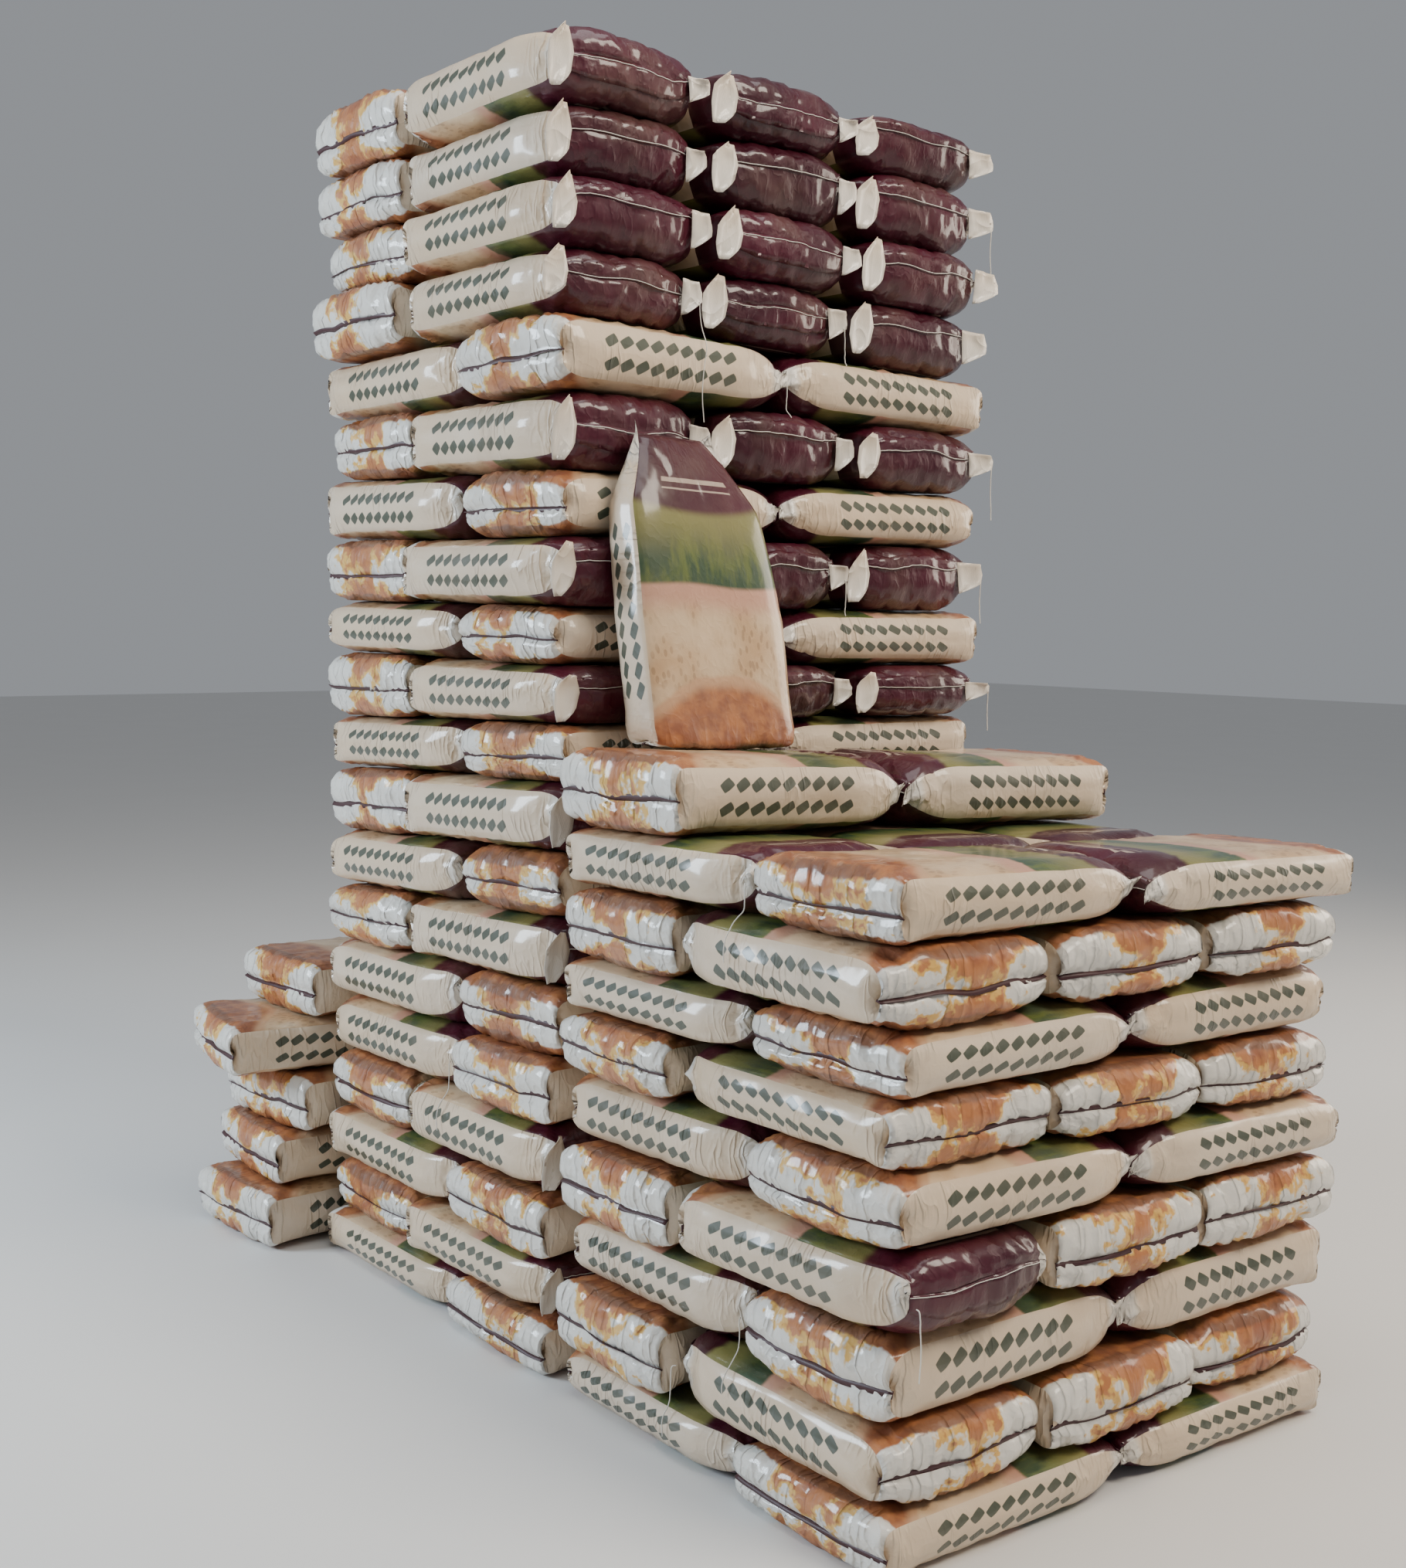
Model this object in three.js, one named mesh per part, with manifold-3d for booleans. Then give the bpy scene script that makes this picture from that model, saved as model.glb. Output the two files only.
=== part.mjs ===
import * as THREE from "three";
import { mergeVertices } from "three/addons/utils/BufferGeometryUtils.js";
import Module from "manifold-3d";

const wasm = await Module();
wasm.setup();

// All lengths are in millimetres, +Z is up.
// The near corner of the low block starts at x 0, y 0. X runs along the front, Y runs to the back.

// One filled sack lying flat. Three widths are as long as two lengths.
const SACK_LENGTH = 630;
const SACK_WIDTH = 420;
const SACK_HEIGHT = 140;

// A full layer holds five sacks: three lie one way and two lie across them.
const STACK_WIDTH = 2 * SACK_LENGTH;
const STACK_DEPTH = SACK_LENGTH + SACK_WIDTH;

// Neighbouring solids never share a face.
const CLEARANCE = 0.3;

// How a sack rounds off: at its long edges, its corners and where two sacks meet.
const EDGE_RISE = 42;
const EDGE_INSET = 30;
const CORNER = 46;
const CORNER_CUT = 15;
const NOTCH_HALF = 34;
const NOTCH_DEPTH = 42;
const MOUTH_NOTCH_HALF = 56;
const MOUTH_NOTCH_DEPTH = 78;
const END_BULGE = 12;
const UNEVEN_OUT = 16;
const HIDDEN_FACE_BACK = 32;

// Grooves between the sacks on the layers whose top shows, half as wide as this at the top.
const GROOVE_HALF = 30;
const GROOVE_DEPTH = 42;
const GROOVE_ABOVE = 14;
const GROOVE_OVERRUN = 60;

// Sacks taper where they meet at a face, which leaves a pocket above and below the line between them.
// A sewn mouth tapers over a longer stretch than a folded bottom end.
const MOUTH_TAPER = 80;
const BOTTOM_TAPER = 34;
const POCKET_DEPTH = 44;
const POCKET_REACH = 140;

// The flat ears of film at both ends of a mouth that faces front, and how far they go from the sack's side.
const EAR_THICK = 6;
const EAR_BEHIND_FACE = 6;
const EAR_INNER = 64;
const EAR_SHORT_OF_NEXT = 14;
const EAR_PAST_CORNER = 10;
const EAR_HIGH = 0.62;
const EAR_EDGE_LOW = 0.42;
const EAR_LOW = 0.2;

// Heights of the layer tops, from the floor up, at three corners of each pile.
const BLOCK_TOPS = {
  nearLeft: [115, 255, 420, 565, 705, 825, 940, 1085, 1222],
  nearRight: [110, 255, 405, 545, 670, 805, 945, 1072, 1180],
  farLeft: [105, 258, 392, 545, 690, 815, 930, 1075, 1200],
};
const TOWER_TOPS = {
  nearLeft: [
    120, 245, 390, 540, 685, 835, 990, 1130, 1280, 1400,
    1522, 1645, 1790, 1930, 2095, 2255, 2385, 2530, 2675, 2825,
  ],
  nearRight: [
    120, 250, 385, 535, 680, 825, 970, 1115, 1260, 1395,
    1512, 1645, 1798, 1928, 2070, 2205, 2345, 2490, 2645, 2765,
  ],
  farLeft: [
    110, 245, 378, 525, 665, 812, 948, 1085, 1240, 1370,
    1528, 1655, 1800, 1950, 2095, 2235, 2395, 2530, 2670, 2830,
  ],
};

// Layers whose front row is three sack ends, counted from the floor. The others show two long sides.
const BLOCK_ENDS_IN_FRONT = [2, 4, 6, 8];
const TOWER_ENDS_IN_FRONT = [2, 4, 7, 9, 11, 13, 15, 17, 18, 19, 20];

// Small sideways shifts of whole layers, from the floor up, so the faces of the piles aren't straight.
const BLOCK_SHIFT_X = [0, -12, 4, -8, 6, -4, 0, -10, 4];
const BLOCK_SHIFT_Y = [6, -4, 4, -10, 4, 0, 4, -6, 2];
const TOWER_SHIFT_X = [0, 4, -4, 2, -2, 6, 10, 4, 14, 16, 18, 14, 4, 10, 16, 14, -8, 8, 2, -6];
const TOWER_SHIFT_Y = [6, 4, 8, 6, 4, 8, 6, 4, 8, 6, 8, 4, 6, 10, 6, 2, 8, 4, 8, 4];

// The half layer on top of the low block, two sacks against the tower, and its height at three corners.
const STEP_FRONT = 628;
const STEP_TOPS = { nearLeft: 1368, nearRight: 1322, farLeft: 1362 };

// The sack that stands on the half layer and leans on the tower.
const STANDING_LEFT = 150;
const STANDING_FRONT = 858;
const STANDING_WIDTH = 372;
const STANDING_HEIGHT = 650;
const STANDING_THICK = 142;
const STANDING_LEAN = 0.1594;
const STANDING_TOP_THIN = 0.58;

// The lower pile behind the tower: two sacks in each layer, the left ones sticking out unevenly.
const REAR_FRONT = 2 * STACK_DEPTH + 32.2;
const REAR_TOPS = [150, 290, 440, 580, 728];
const REAR_SLIDE = [-150, -92, -62, -178, -14];
const REAR_TURN = [0.06, -0.05, 0.1, -0.16, 0.03];

// The loose tails of the closing threads: limp cotton, each from where it leaves its sack to its free end.
const THREAD_DIAMETER = 2.2;
const THREAD_SIDES = 8;
const THREAD_STEP = 2.5 * THREAD_DIAMETER;
const THREAD_ROUTES = [
  // Right ear of the tower's second layer from the top.
  [
    [1272.3, 1083, 2570.6], [1275.3, 1083, 2570.6], [1278.7, 1083, 2569.6], [1281.2, 1083, 2565.9],
    [1282, 1083, 2559.6], [1282, 1083, 2553], [1282, 1084, 2538], [1282, 1085, 2522],
    [1282, 1085, 2507], [1282, 1084, 2492], [1282, 1082, 2477], [1282, 1081, 2462],
    [1282, 1080, 2447], [1282, 1079, 2432], [1282, 1079, 2417],
  ],
  // Between the first and second mouths of the fourth layer, the longest tail.
  [
    [392, 1081.8, 2300.6], [392, 1078.8, 2300.6], [392, 1075.4, 2299.6], [392, 1072.9, 2295.9],
    [392, 1072.1, 2289.6], [392, 1072, 2283], [394, 1072, 2265], [397, 1072, 2248],
    [399, 1067, 2231], [398, 1058, 2216], [396, 1051, 2200], [394, 1051, 2183],
    [391, 1051, 2165], [388, 1050, 2148], [386, 1050, 2130], [385, 1050, 2112],
    [385, 1050, 2095], [386, 1050, 2077], [388, 1050, 2060], [390, 1050, 2042],
  ],
  // Between the second and third mouths of the same layer.
  [
    [812, 1088.1, 2285.4], [812, 1085.1, 2285.4], [812, 1081.7, 2284.5], [812, 1079.2, 2280.8],
    [812, 1078.4, 2274.4], [812, 1078, 2267], [813, 1078, 2260], [813, 1078, 2252],
    [813, 1078, 2244], [813, 1078, 2236], [814, 1078, 2228], [813, 1078, 2220],
    [813, 1077, 2213], [812, 1074, 2206], [812, 1069, 2199],
  ],
  // Where the two long sacks of the fifth layer meet.
  [
    [657.8, 1093.5, 2155.3], [655.5, 1091.6, 2155.3], [652.9, 1089.3, 2154.3], [651, 1087.7, 2150.6],
    [650.4, 1087.2, 2144.3], [651, 1087, 2137], [651, 1087, 2129], [651, 1087, 2120],
    [650, 1087, 2112], [650, 1087, 2104], [649, 1087, 2095], [648, 1084, 2088],
    [648, 1078, 2082], [647, 1071, 2077], [647, 1065, 2071],
  ],
  // Right ear of the sixth layer.
  [
    [1286.3, 1075.7, 2002], [1289.3, 1075.7, 2002], [1292.7, 1075.7, 2001], [1295.2, 1075.7, 1997.3],
    [1296, 1075.7, 1991], [1296, 1076, 1984], [1296, 1077, 1971], [1296, 1077, 1958],
    [1296, 1077, 1945], [1296, 1077, 1933], [1296, 1076, 1920], [1296, 1075, 1907],
    [1296, 1074, 1894], [1296, 1074, 1881], [1296, 1073, 1868],
  ],
  // Right ear of the eighth layer.
  [
    [1274.3, 1090.7, 1724.7], [1277.3, 1090.7, 1724.7], [1280.7, 1090.7, 1723.7], [1283.2, 1090.7, 1720.1],
    [1284, 1090.7, 1713.7], [1284, 1091, 1707], [1284, 1092, 1697], [1284, 1092, 1687],
    [1284, 1093, 1676], [1284, 1093, 1666], [1284, 1092, 1656], [1284, 1092, 1646],
    [1284, 1091, 1636], [1284, 1090, 1626], [1284, 1089, 1616],
  ],
  // Between the second and third mouths of the same layer.
  [
    [824, 1080.9, 1714.3], [824, 1077.9, 1714.3], [824, 1074.4, 1713.3], [824, 1072, 1709.6],
    [824, 1071.2, 1703.3], [824, 1071, 1696], [824, 1071, 1689], [824, 1071, 1682],
    [824, 1071, 1674], [824, 1071, 1667], [823, 1071, 1660], [823, 1071, 1652],
    [822, 1071, 1645], [822, 1071, 1638], [822, 1068, 1631],
  ],
  // Right ear of the tenth layer.
  [
    [1288.3, 1069.7, 1455.7], [1291.3, 1069.7, 1455.7], [1294.7, 1069.7, 1454.7], [1297.2, 1069.7, 1451],
    [1298, 1069.7, 1444.7], [1298, 1070, 1438], [1298, 1070, 1428], [1298, 1071, 1419],
    [1298, 1071, 1409], [1298, 1071, 1400], [1298, 1071, 1390], [1298, 1070, 1381],
    [1298, 1070, 1371], [1298, 1069, 1362], [1298, 1069, 1352],
  ],
  // Left face of the low block, its top layer.
  [
    [28, 435.8, 1146.9], [26.2, 433.4, 1146.9], [24.1, 430.7, 1145.9], [22.5, 428.8, 1142.2],
    [22, 428.1, 1135.9], [22, 428, 1129], [22, 428, 1114], [21, 429, 1099],
    [10, 431, 1088], [0, 432, 1078], [-8, 433, 1065], [-16, 433, 1052],
    [-20, 433, 1038], [-22, 432, 1023], [-22, 431, 1008],
  ],
  // Left face of the tower, low down.
  [
    [28.4, 1503.8, 605], [26.1, 1501.9, 605], [23.4, 1499.8, 604], [21.5, 1498.2, 600.4],
    [20.9, 1497.7, 594], [21, 1498, 587], [21, 1498, 571], [21, 1499, 555],
    [20, 1501, 539], [11, 1502, 525], [1, 1503, 512], [-6, 1503, 498],
    [-9, 1502, 482], [-10, 1501, 466], [-10, 1499, 450],
  ],
  // Left face of the block, third layer from the floor.
  [
    [34, 437.8, 332.3], [31.7, 435.9, 332.3], [29.1, 433.7, 331.3], [27.2, 432.1, 327.7],
    [26.6, 431.6, 321.3], [27, 431, 314], [27, 431, 300], [27, 432, 286],
    [25, 433, 273], [18, 434, 261], [10, 435, 249], [2, 436, 238],
    [-5, 436, 226], [-10, 435, 213], [-11, 434, 199],
  ],
  // Left face of the block, second layer.
  [
    [16.3, 612.2, 185.9], [14.1, 614.3, 185.9], [11.7, 616.7, 184.9], [9.9, 618.4, 181.3],
    [9.3, 618.9, 174.9], [9, 619, 168], [9, 619, 154], [9, 620, 140],
    [9, 621, 126], [9, 623, 112], [4, 624, 99], [-3, 625, 88],
    [-7, 625, 74], [-7, 624, 60], [-7, 623, 46],
  ],
  // The one mouth that faces front in the block.
  [
    [44, -17, 486.1], [43.8, -20, 486.1], [43.5, -23.4, 485.1], [43.3, -25.8, 481.4],
    [43.3, -26.6, 475.1], [44, -27, 468], [44, -27, 456], [45, -27, 445],
    [46, -27, 433], [47, -27, 421], [47, -27, 409], [47, -27, 398],
    [46, -27, 386], [45, -27, 374], [44, -27, 362],
  ],
];

const FILM_CREAM = "#d6cbb0";
const FILM_WHITE = "#ddd8c9";
const FILM_SHADE = "#c9bc9d";
const THREAD_WHITE = "#ebe7dc";

// A steady spread between -1 and 1, so no two sacks stand out by the same amount.
function uneven(layer, place) {
  const wave = Math.sin(layer * 12.9898 + place * 78.233) * 43758.5453;
  return 2 * (wave - Math.floor(wave)) - 1;
}

function toSolid(geometry) {
  const bare = geometry.index ? geometry.toNonIndexed() : geometry.clone();
  bare.deleteAttribute("normal");
  bare.deleteAttribute("uv");
  const merged = mergeVertices(bare, 1e-3);
  return new wasm.Manifold(
    new wasm.Mesh({
      numProp: 3,
      vertProperties: new Float32Array(merged.attributes.position.array),
      triVerts: new Uint32Array(merged.index.array),
    }),
  );
}

function toGeometry(solid) {
  const made = solid.getMesh();
  const points = new Float32Array(made.numVert * 3);
  for (let i = 0; i < made.numVert; i++) {
    points.set(made.vertProperties.subarray(i * made.numProp, i * made.numProp + 3), i * 3);
  }
  const geometry = new THREE.BufferGeometry();
  geometry.setAttribute("position", new THREE.BufferAttribute(points, 3));
  geometry.setIndex(new THREE.BufferAttribute(new Uint32Array(made.triVerts), 1));
  geometry.computeVertexNormals();
  return geometry;
}

// A flat cushion over an outline, as thick as one sack, with its top and bottom edges drawn in.
function cushion(points, height) {
  const shape = new THREE.Shape(points);
  const geometry = new THREE.ExtrudeGeometry(shape, {
    depth: height - 2 * EDGE_RISE,
    bevelEnabled: true,
    bevelThickness: EDGE_RISE,
    bevelSize: EDGE_INSET,
    bevelOffset: -EDGE_INSET,
    bevelSegments: 1,
    steps: 1,
  });
  geometry.translate(0, 0, EDGE_RISE);
  return geometry;
}

// The points of one side of a layer, as distance along the side and distance out of it.
function sidePoints(side, layer, first) {
  const points = [[CORNER_CUT, -CORNER_CUT]];
  const notchHalf = side.mouths ? MOUTH_NOTCH_HALF : NOTCH_HALF;
  const notchDepth = side.mouths ? MOUTH_NOTCH_DEPTH : NOTCH_DEPTH;
  let from = 0;
  side.sacks.forEach((kind, i) => {
    const full = kind === "end" ? SACK_WIDTH : SACK_LENGTH;
    const length = i === side.shortened ? full - HIDDEN_FACE_BACK : full;
    const out = side.hidden ? 0 : UNEVEN_OUT * uneven(layer, first + i);
    const bulge = kind === "end" ? END_BULGE : 0;
    const startRoom = i === 0 ? CORNER : notchHalf;
    const endRoom = i === side.sacks.length - 1 ? CORNER : notchHalf;
    if (i > 0) {
      points.push([from, -notchDepth]);
    }
    points.push([from + startRoom, out]);
    points.push([from + length / 2, out + bulge]);
    points.push([from + length - endRoom, out]);
    from += length;
  });
  return points;
}

// The outline of a full layer, walked round its four sides from the near left corner.
function layerOutline(place) {
  const { seed, endsInFront, mouthsInFront, backHidden } = place;
  const front = endsInFront ? ["end", "end", "end"] : ["long", "long"];
  const right = endsInFront ? ["long", "end"] : ["end", "long"];
  const back = endsInFront ? ["long", "long"] : ["end", "end", "end"];
  const left = [...right].reverse();
  const backY = backHidden ? STACK_DEPTH - HIDDEN_FACE_BACK : STACK_DEPTH;
  const sides = [
    { sacks: front, start: [0, 0], along: [1, 0], out: [0, -1] },
    { sacks: right, start: [STACK_WIDTH, 0], along: [0, 1], out: [1, 0] },
    { sacks: back, start: [STACK_WIDTH, backY], along: [-1, 0], out: [0, 1] },
    { sacks: left, start: [0, backY], along: [0, -1], out: [-1, 0] },
  ];
  sides[0].mouths = mouthsInFront;
  if (backHidden) {
    sides[1].shortened = 1;
    sides[2].hidden = true;
    sides[3].shortened = 0;
  }
  const outline = [];
  sides.forEach((side, s) => {
    for (const [distance, outward] of sidePoints(side, seed, 10 * s)) {
      const x = side.start[0] + side.along[0] * distance + side.out[0] * outward;
      const y = side.start[1] + side.along[1] * distance + side.out[1] * outward;
      outline.push(new THREE.Vector2(x, y));
    }
  });
  return outline;
}

// A V groove along a line on the top or the underside of a layer.
// Left and right say how far each flank reaches from the line where it meets the flat surface.
function groove(line, left, right, depth, underneath) {
  const [fromX, fromY, toX, toY] = line;
  const widen = (depth + GROOVE_ABOVE) / depth;
  const section = [
    new THREE.Vector2(-right * widen, GROOVE_ABOVE),
    new THREE.Vector2(0, -depth),
    new THREE.Vector2(left * widen, GROOVE_ABOVE),
  ];
  if (underneath) {
    section.forEach((point) => point.setY(-point.y));
    section.reverse();
  }
  const length = Math.hypot(toX - fromX, toY - fromY);
  const shape = new THREE.Shape(section);
  const geometry = new THREE.ExtrudeGeometry(shape, { depth: length, bevelEnabled: false });
  geometry.rotateX(Math.PI / 2);
  geometry.rotateZ(Math.atan2(toY - fromY, toX - fromX) + Math.PI / 2);
  geometry.translate(fromX, fromY, underneath ? 0 : SACK_HEIGHT);
  return toSolid(geometry);
}

// Where the sacks of a layer meet, seen from above.
function meetingLines(endsInFront) {
  const across = endsInFront ? SACK_LENGTH : SACK_WIDTH;
  const farEdge = STACK_DEPTH + GROOVE_OVERRUN;
  const threeFrom = endsInFront ? -GROOVE_OVERRUN : across - 20;
  const threeTo = endsInFront ? across + 20 : farEdge;
  const twoFrom = endsInFront ? across - 20 : -GROOVE_OVERRUN;
  const twoTo = endsInFront ? farEdge : across + 20;
  return [
    [-GROOVE_OVERRUN, across, STACK_WIDTH + GROOVE_OVERRUN, across],
    [SACK_WIDTH, threeFrom, SACK_WIDTH, threeTo],
    [2 * SACK_WIDTH, threeFrom, 2 * SACK_WIDTH, threeTo],
    [SACK_LENGTH, twoFrom, SACK_LENGTH, twoTo],
  ];
}

// The pockets at the faces of a layer: the line that each runs in along, and its reach left and right.
function pockets(place) {
  const { endsInFront, mouthsInFront, backHidden } = place;
  const out = -GROOVE_OVERRUN;
  const far = STACK_DEPTH + GROOVE_OVERRUN;
  const thirds = [SACK_WIDTH, 2 * SACK_WIDTH];
  const found = [];
  const frontMeets = endsInFront ? thirds : [SACK_LENGTH];
  const frontTaper = endsInFront ? BOTTOM_TAPER : MOUTH_TAPER;
  for (const x of frontMeets) {
    found.push({ line: [x, out, x, POCKET_REACH], left: frontTaper, right: frontTaper });
  }
  const backMeets = endsInFront ? [SACK_LENGTH] : thirds;
  const backTaper = endsInFront ? MOUTH_TAPER : BOTTOM_TAPER;
  if (!backHidden) {
    for (const x of backMeets) {
      found.push({ line: [x, far, x, STACK_DEPTH - POCKET_REACH], left: backTaper, right: backTaper });
    }
  }
  const y = endsInFront ? SACK_LENGTH : SACK_WIDTH;
  const longTaper = endsInFront && mouthsInFront ? BOTTOM_TAPER : MOUTH_TAPER;
  const behind = endsInFront ? BOTTOM_TAPER : longTaper;
  const ahead = endsInFront ? longTaper : BOTTOM_TAPER;
  found.push({ line: [out, y, POCKET_REACH, y], left: behind, right: ahead });
  const right = STACK_WIDTH + GROOVE_OVERRUN;
  found.push({ line: [right, y, STACK_WIDTH - POCKET_REACH, y], left: ahead, right: behind });
  return found;
}

// Lifts a flat cushion between two sloping planes, each given by its height at three corners.
function fitBetween(geometry, below, above, originY, depth) {
  const position = geometry.attributes.position;
  const heightOf = (plane, x, y) => {
    const slopeX = (plane.nearRight - plane.nearLeft) / STACK_WIDTH;
    const slopeY = (plane.farLeft - plane.nearLeft) / depth;
    return plane.nearLeft + slopeX * x + slopeY * (y - originY);
  };
  for (let i = 0; i < position.count; i++) {
    const x = position.getX(i);
    const y = position.getY(i);
    const low = heightOf(below, x, y);
    const high = heightOf(above, x, y) - CLEARANCE;
    position.setZ(i, low + ((high - low) * position.getZ(i)) / SACK_HEIGHT);
  }
  return geometry;
}

function planeAt(tops, index) {
  if (index < 0) {
    return { nearLeft: 0, nearRight: 0, farLeft: 0 };
  }
  return {
    nearLeft: tops.nearLeft[index],
    nearRight: tops.nearRight[index],
    farLeft: tops.farLeft[index],
  };
}

const stack = new THREE.Group();
stack.name = "sack_stack";

function addNode(name, geometry, colour) {
  const material = new THREE.MeshStandardMaterial({ color: colour, roughness: 0.38, metalness: 0 });
  const mesh = new THREE.Mesh(geometry, material);
  mesh.name = name;
  stack.add(mesh);
}

// One full layer of five sacks as a single solid.
function fullLayer(place) {
  let solid = toSolid(cushion(layerOutline(place), SACK_HEIGHT));
  if (place.topShows) {
    for (const line of meetingLines(place.endsInFront)) {
      solid = solid.subtract(groove(line, GROOVE_HALF, GROOVE_HALF, GROOVE_DEPTH, false));
    }
  }
  for (const { line, left, right } of pockets(place)) {
    solid = solid.subtract(groove(line, left, right, POCKET_DEPTH, false));
    solid = solid.subtract(groove(line, left, right, POCKET_DEPTH, true));
  }
  if (place.mouthsInFront) {
    for (let i = 0; i < 3; i++) {
      const face = -UNEVEN_OUT * uneven(place.seed, i);
      const leftReach = i === 0 ? 0 : -EAR_SHORT_OF_NEXT;
      const rightReach = i === 2 ? EAR_PAST_CORNER : -EAR_SHORT_OF_NEXT;
      solid = solid.add(ear(i * SACK_WIDTH, -1, leftReach, face));
      solid = solid.add(ear((i + 1) * SACK_WIDTH, 1, rightReach, face));
    }
  }
  const geometry = toGeometry(solid);
  geometry.translate(place.shiftX, place.originY + place.shiftY, 0);
  return fitBetween(geometry, place.below, place.above, place.originY, STACK_DEPTH);
}

// One ear: the flap at a mouth's end, on the right where side is 1 and on the left where it is -1.
function ear(sackSide, side, reach, face) {
  const inner = sackSide - side * EAR_INNER;
  const edge = sackSide + side * reach;
  const points = [
    new THREE.Vector2(inner, EAR_LOW * SACK_HEIGHT),
    new THREE.Vector2(inner + side * EAR_THICK, EAR_LOW * SACK_HEIGHT),
    new THREE.Vector2(edge, EAR_EDGE_LOW * SACK_HEIGHT),
    new THREE.Vector2(edge, EAR_HIGH * SACK_HEIGHT),
    new THREE.Vector2(inner, EAR_HIGH * SACK_HEIGHT),
  ];
  if (side < 0) {
    points.reverse();
  }
  const shape = new THREE.Shape(points);
  const geometry = new THREE.ExtrudeGeometry(shape, { depth: EAR_THICK, bevelEnabled: false });
  geometry.rotateX(Math.PI / 2);
  geometry.translate(0, face + EAR_BEHIND_FACE + EAR_THICK, 0);
  return toSolid(geometry);
}

// The outline of one lying sack, its length along X, centred.
function sackOutline(length, width) {
  const x = length / 2;
  const y = width / 2;
  const corners = [[1, -1], [1, 1], [-1, 1], [-1, -1]];
  const points = [];
  for (const [sideX, sideY] of corners) {
    const ahead = sideX * sideY > 0;
    const nearEnd = [sideX * x, sideY * (y - CORNER)];
    const cut = [sideX * (x - CORNER_CUT), sideY * (y - CORNER_CUT)];
    const nearSide = [sideX * (x - CORNER), sideY * y];
    const walk = ahead ? [nearEnd, cut, nearSide] : [nearSide, cut, nearEnd];
    points.push(...walk);
    if (sideY < 0 && sideX > 0) {
      points.push([x + END_BULGE, 0]);
    }
    if (sideY > 0 && sideX < 0) {
      points.push([-x - END_BULGE, 0]);
    }
  }
  return points.map(([px, py]) => new THREE.Vector2(px, py));
}

// Two sacks lying end to end as one solid, each with its own slide and turn.
function pairLayer(originY, places) {
  let solid = null;
  for (const place of places) {
    const geometry = cushion(sackOutline(SACK_LENGTH + 6, SACK_WIDTH - 8), SACK_HEIGHT);
    geometry.rotateZ(place.turn);
    geometry.translate(place.x, originY + SACK_WIDTH / 2 + place.y, 0);
    const one = toSolid(geometry);
    solid = solid ? solid.add(one) : one;
  }
  return toGeometry(solid);
}

// The low block in front, from the floor up.
for (let i = 0; i < BLOCK_TOPS.nearLeft.length; i++) {
  const count = i + 1;
  const top = count === BLOCK_TOPS.nearLeft.length;
  const place = {
    seed: 40 + count,
    endsInFront: BLOCK_ENDS_IN_FRONT.includes(count),
    mouthsInFront: false,
    backHidden: true,
    topShows: top,
    shiftX: BLOCK_SHIFT_X[i],
    shiftY: BLOCK_SHIFT_Y[i],
    originY: 0,
    below: planeAt(BLOCK_TOPS, i - 1),
    above: planeAt(BLOCK_TOPS, i),
  };
  addNode("block_layer_" + String(count).padStart(2, "0"), fullLayer(place), FILM_CREAM);
}

// The half layer against the tower.
const blockTop = planeAt(BLOCK_TOPS, BLOCK_TOPS.nearLeft.length - 1);
const stepPair = pairLayer(STEP_FRONT, [
  { x: SACK_LENGTH / 2, y: -4, turn: 0.012 },
  { x: 1.5 * SACK_LENGTH, y: -6, turn: -0.01 },
]);
const stepPlane = {
  nearLeft: STEP_TOPS.nearLeft,
  nearRight: STEP_TOPS.nearRight,
  farLeft: STEP_TOPS.farLeft,
};
addNode("step_layer", fitBetween(stepPair, blockTop, stepPlane, 0, STACK_DEPTH), FILM_WHITE);

// The tower behind the block, from the floor up.
for (let i = 0; i < TOWER_TOPS.nearLeft.length; i++) {
  const count = i + 1;
  const top = count === TOWER_TOPS.nearLeft.length;
  const place = {
    seed: count,
    endsInFront: TOWER_ENDS_IN_FRONT.includes(count),
    mouthsInFront: TOWER_ENDS_IN_FRONT.includes(count),
    backHidden: false,
    topShows: top,
    shiftX: TOWER_SHIFT_X[i],
    shiftY: TOWER_SHIFT_Y[i] + 16,
    originY: STACK_DEPTH,
    below: planeAt(TOWER_TOPS, i - 1),
    above: planeAt(TOWER_TOPS, i),
  };
  addNode("tower_layer_" + String(count).padStart(2, "0"), fullLayer(place), FILM_CREAM);
}

// The standing sack: broad at the foot, with one shoulder slumped and the mouth drawn thin.
const standingShape = new THREE.Shape([
  new THREE.Vector2(0.04 * STANDING_WIDTH, 0),
  new THREE.Vector2(0.94 * STANDING_WIDTH, 0),
  new THREE.Vector2(STANDING_WIDTH, 0.07 * STANDING_HEIGHT),
  new THREE.Vector2(0.99 * STANDING_WIDTH, 0.42 * STANDING_HEIGHT),
  new THREE.Vector2(0.9 * STANDING_WIDTH, 0.78 * STANDING_HEIGHT),
  new THREE.Vector2(0.72 * STANDING_WIDTH, 0.93 * STANDING_HEIGHT),
  new THREE.Vector2(0.5 * STANDING_WIDTH, STANDING_HEIGHT),
  new THREE.Vector2(0.07 * STANDING_WIDTH, STANDING_HEIGHT),
  new THREE.Vector2(-0.03 * STANDING_WIDTH, 0.78 * STANDING_HEIGHT),
  new THREE.Vector2(-0.04 * STANDING_WIDTH, 0.4 * STANDING_HEIGHT),
  new THREE.Vector2(-0.02 * STANDING_WIDTH, 0.07 * STANDING_HEIGHT),
]);
const standing = new THREE.ExtrudeGeometry(standingShape, {
  depth: STANDING_THICK - 2 * EDGE_RISE,
  bevelEnabled: true,
  bevelThickness: EDGE_RISE,
  bevelSize: EDGE_INSET,
  bevelOffset: -EDGE_INSET,
  bevelSegments: 2,
  steps: 1,
});
standing.translate(0, 0, EDGE_RISE - STANDING_THICK / 2);
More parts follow.
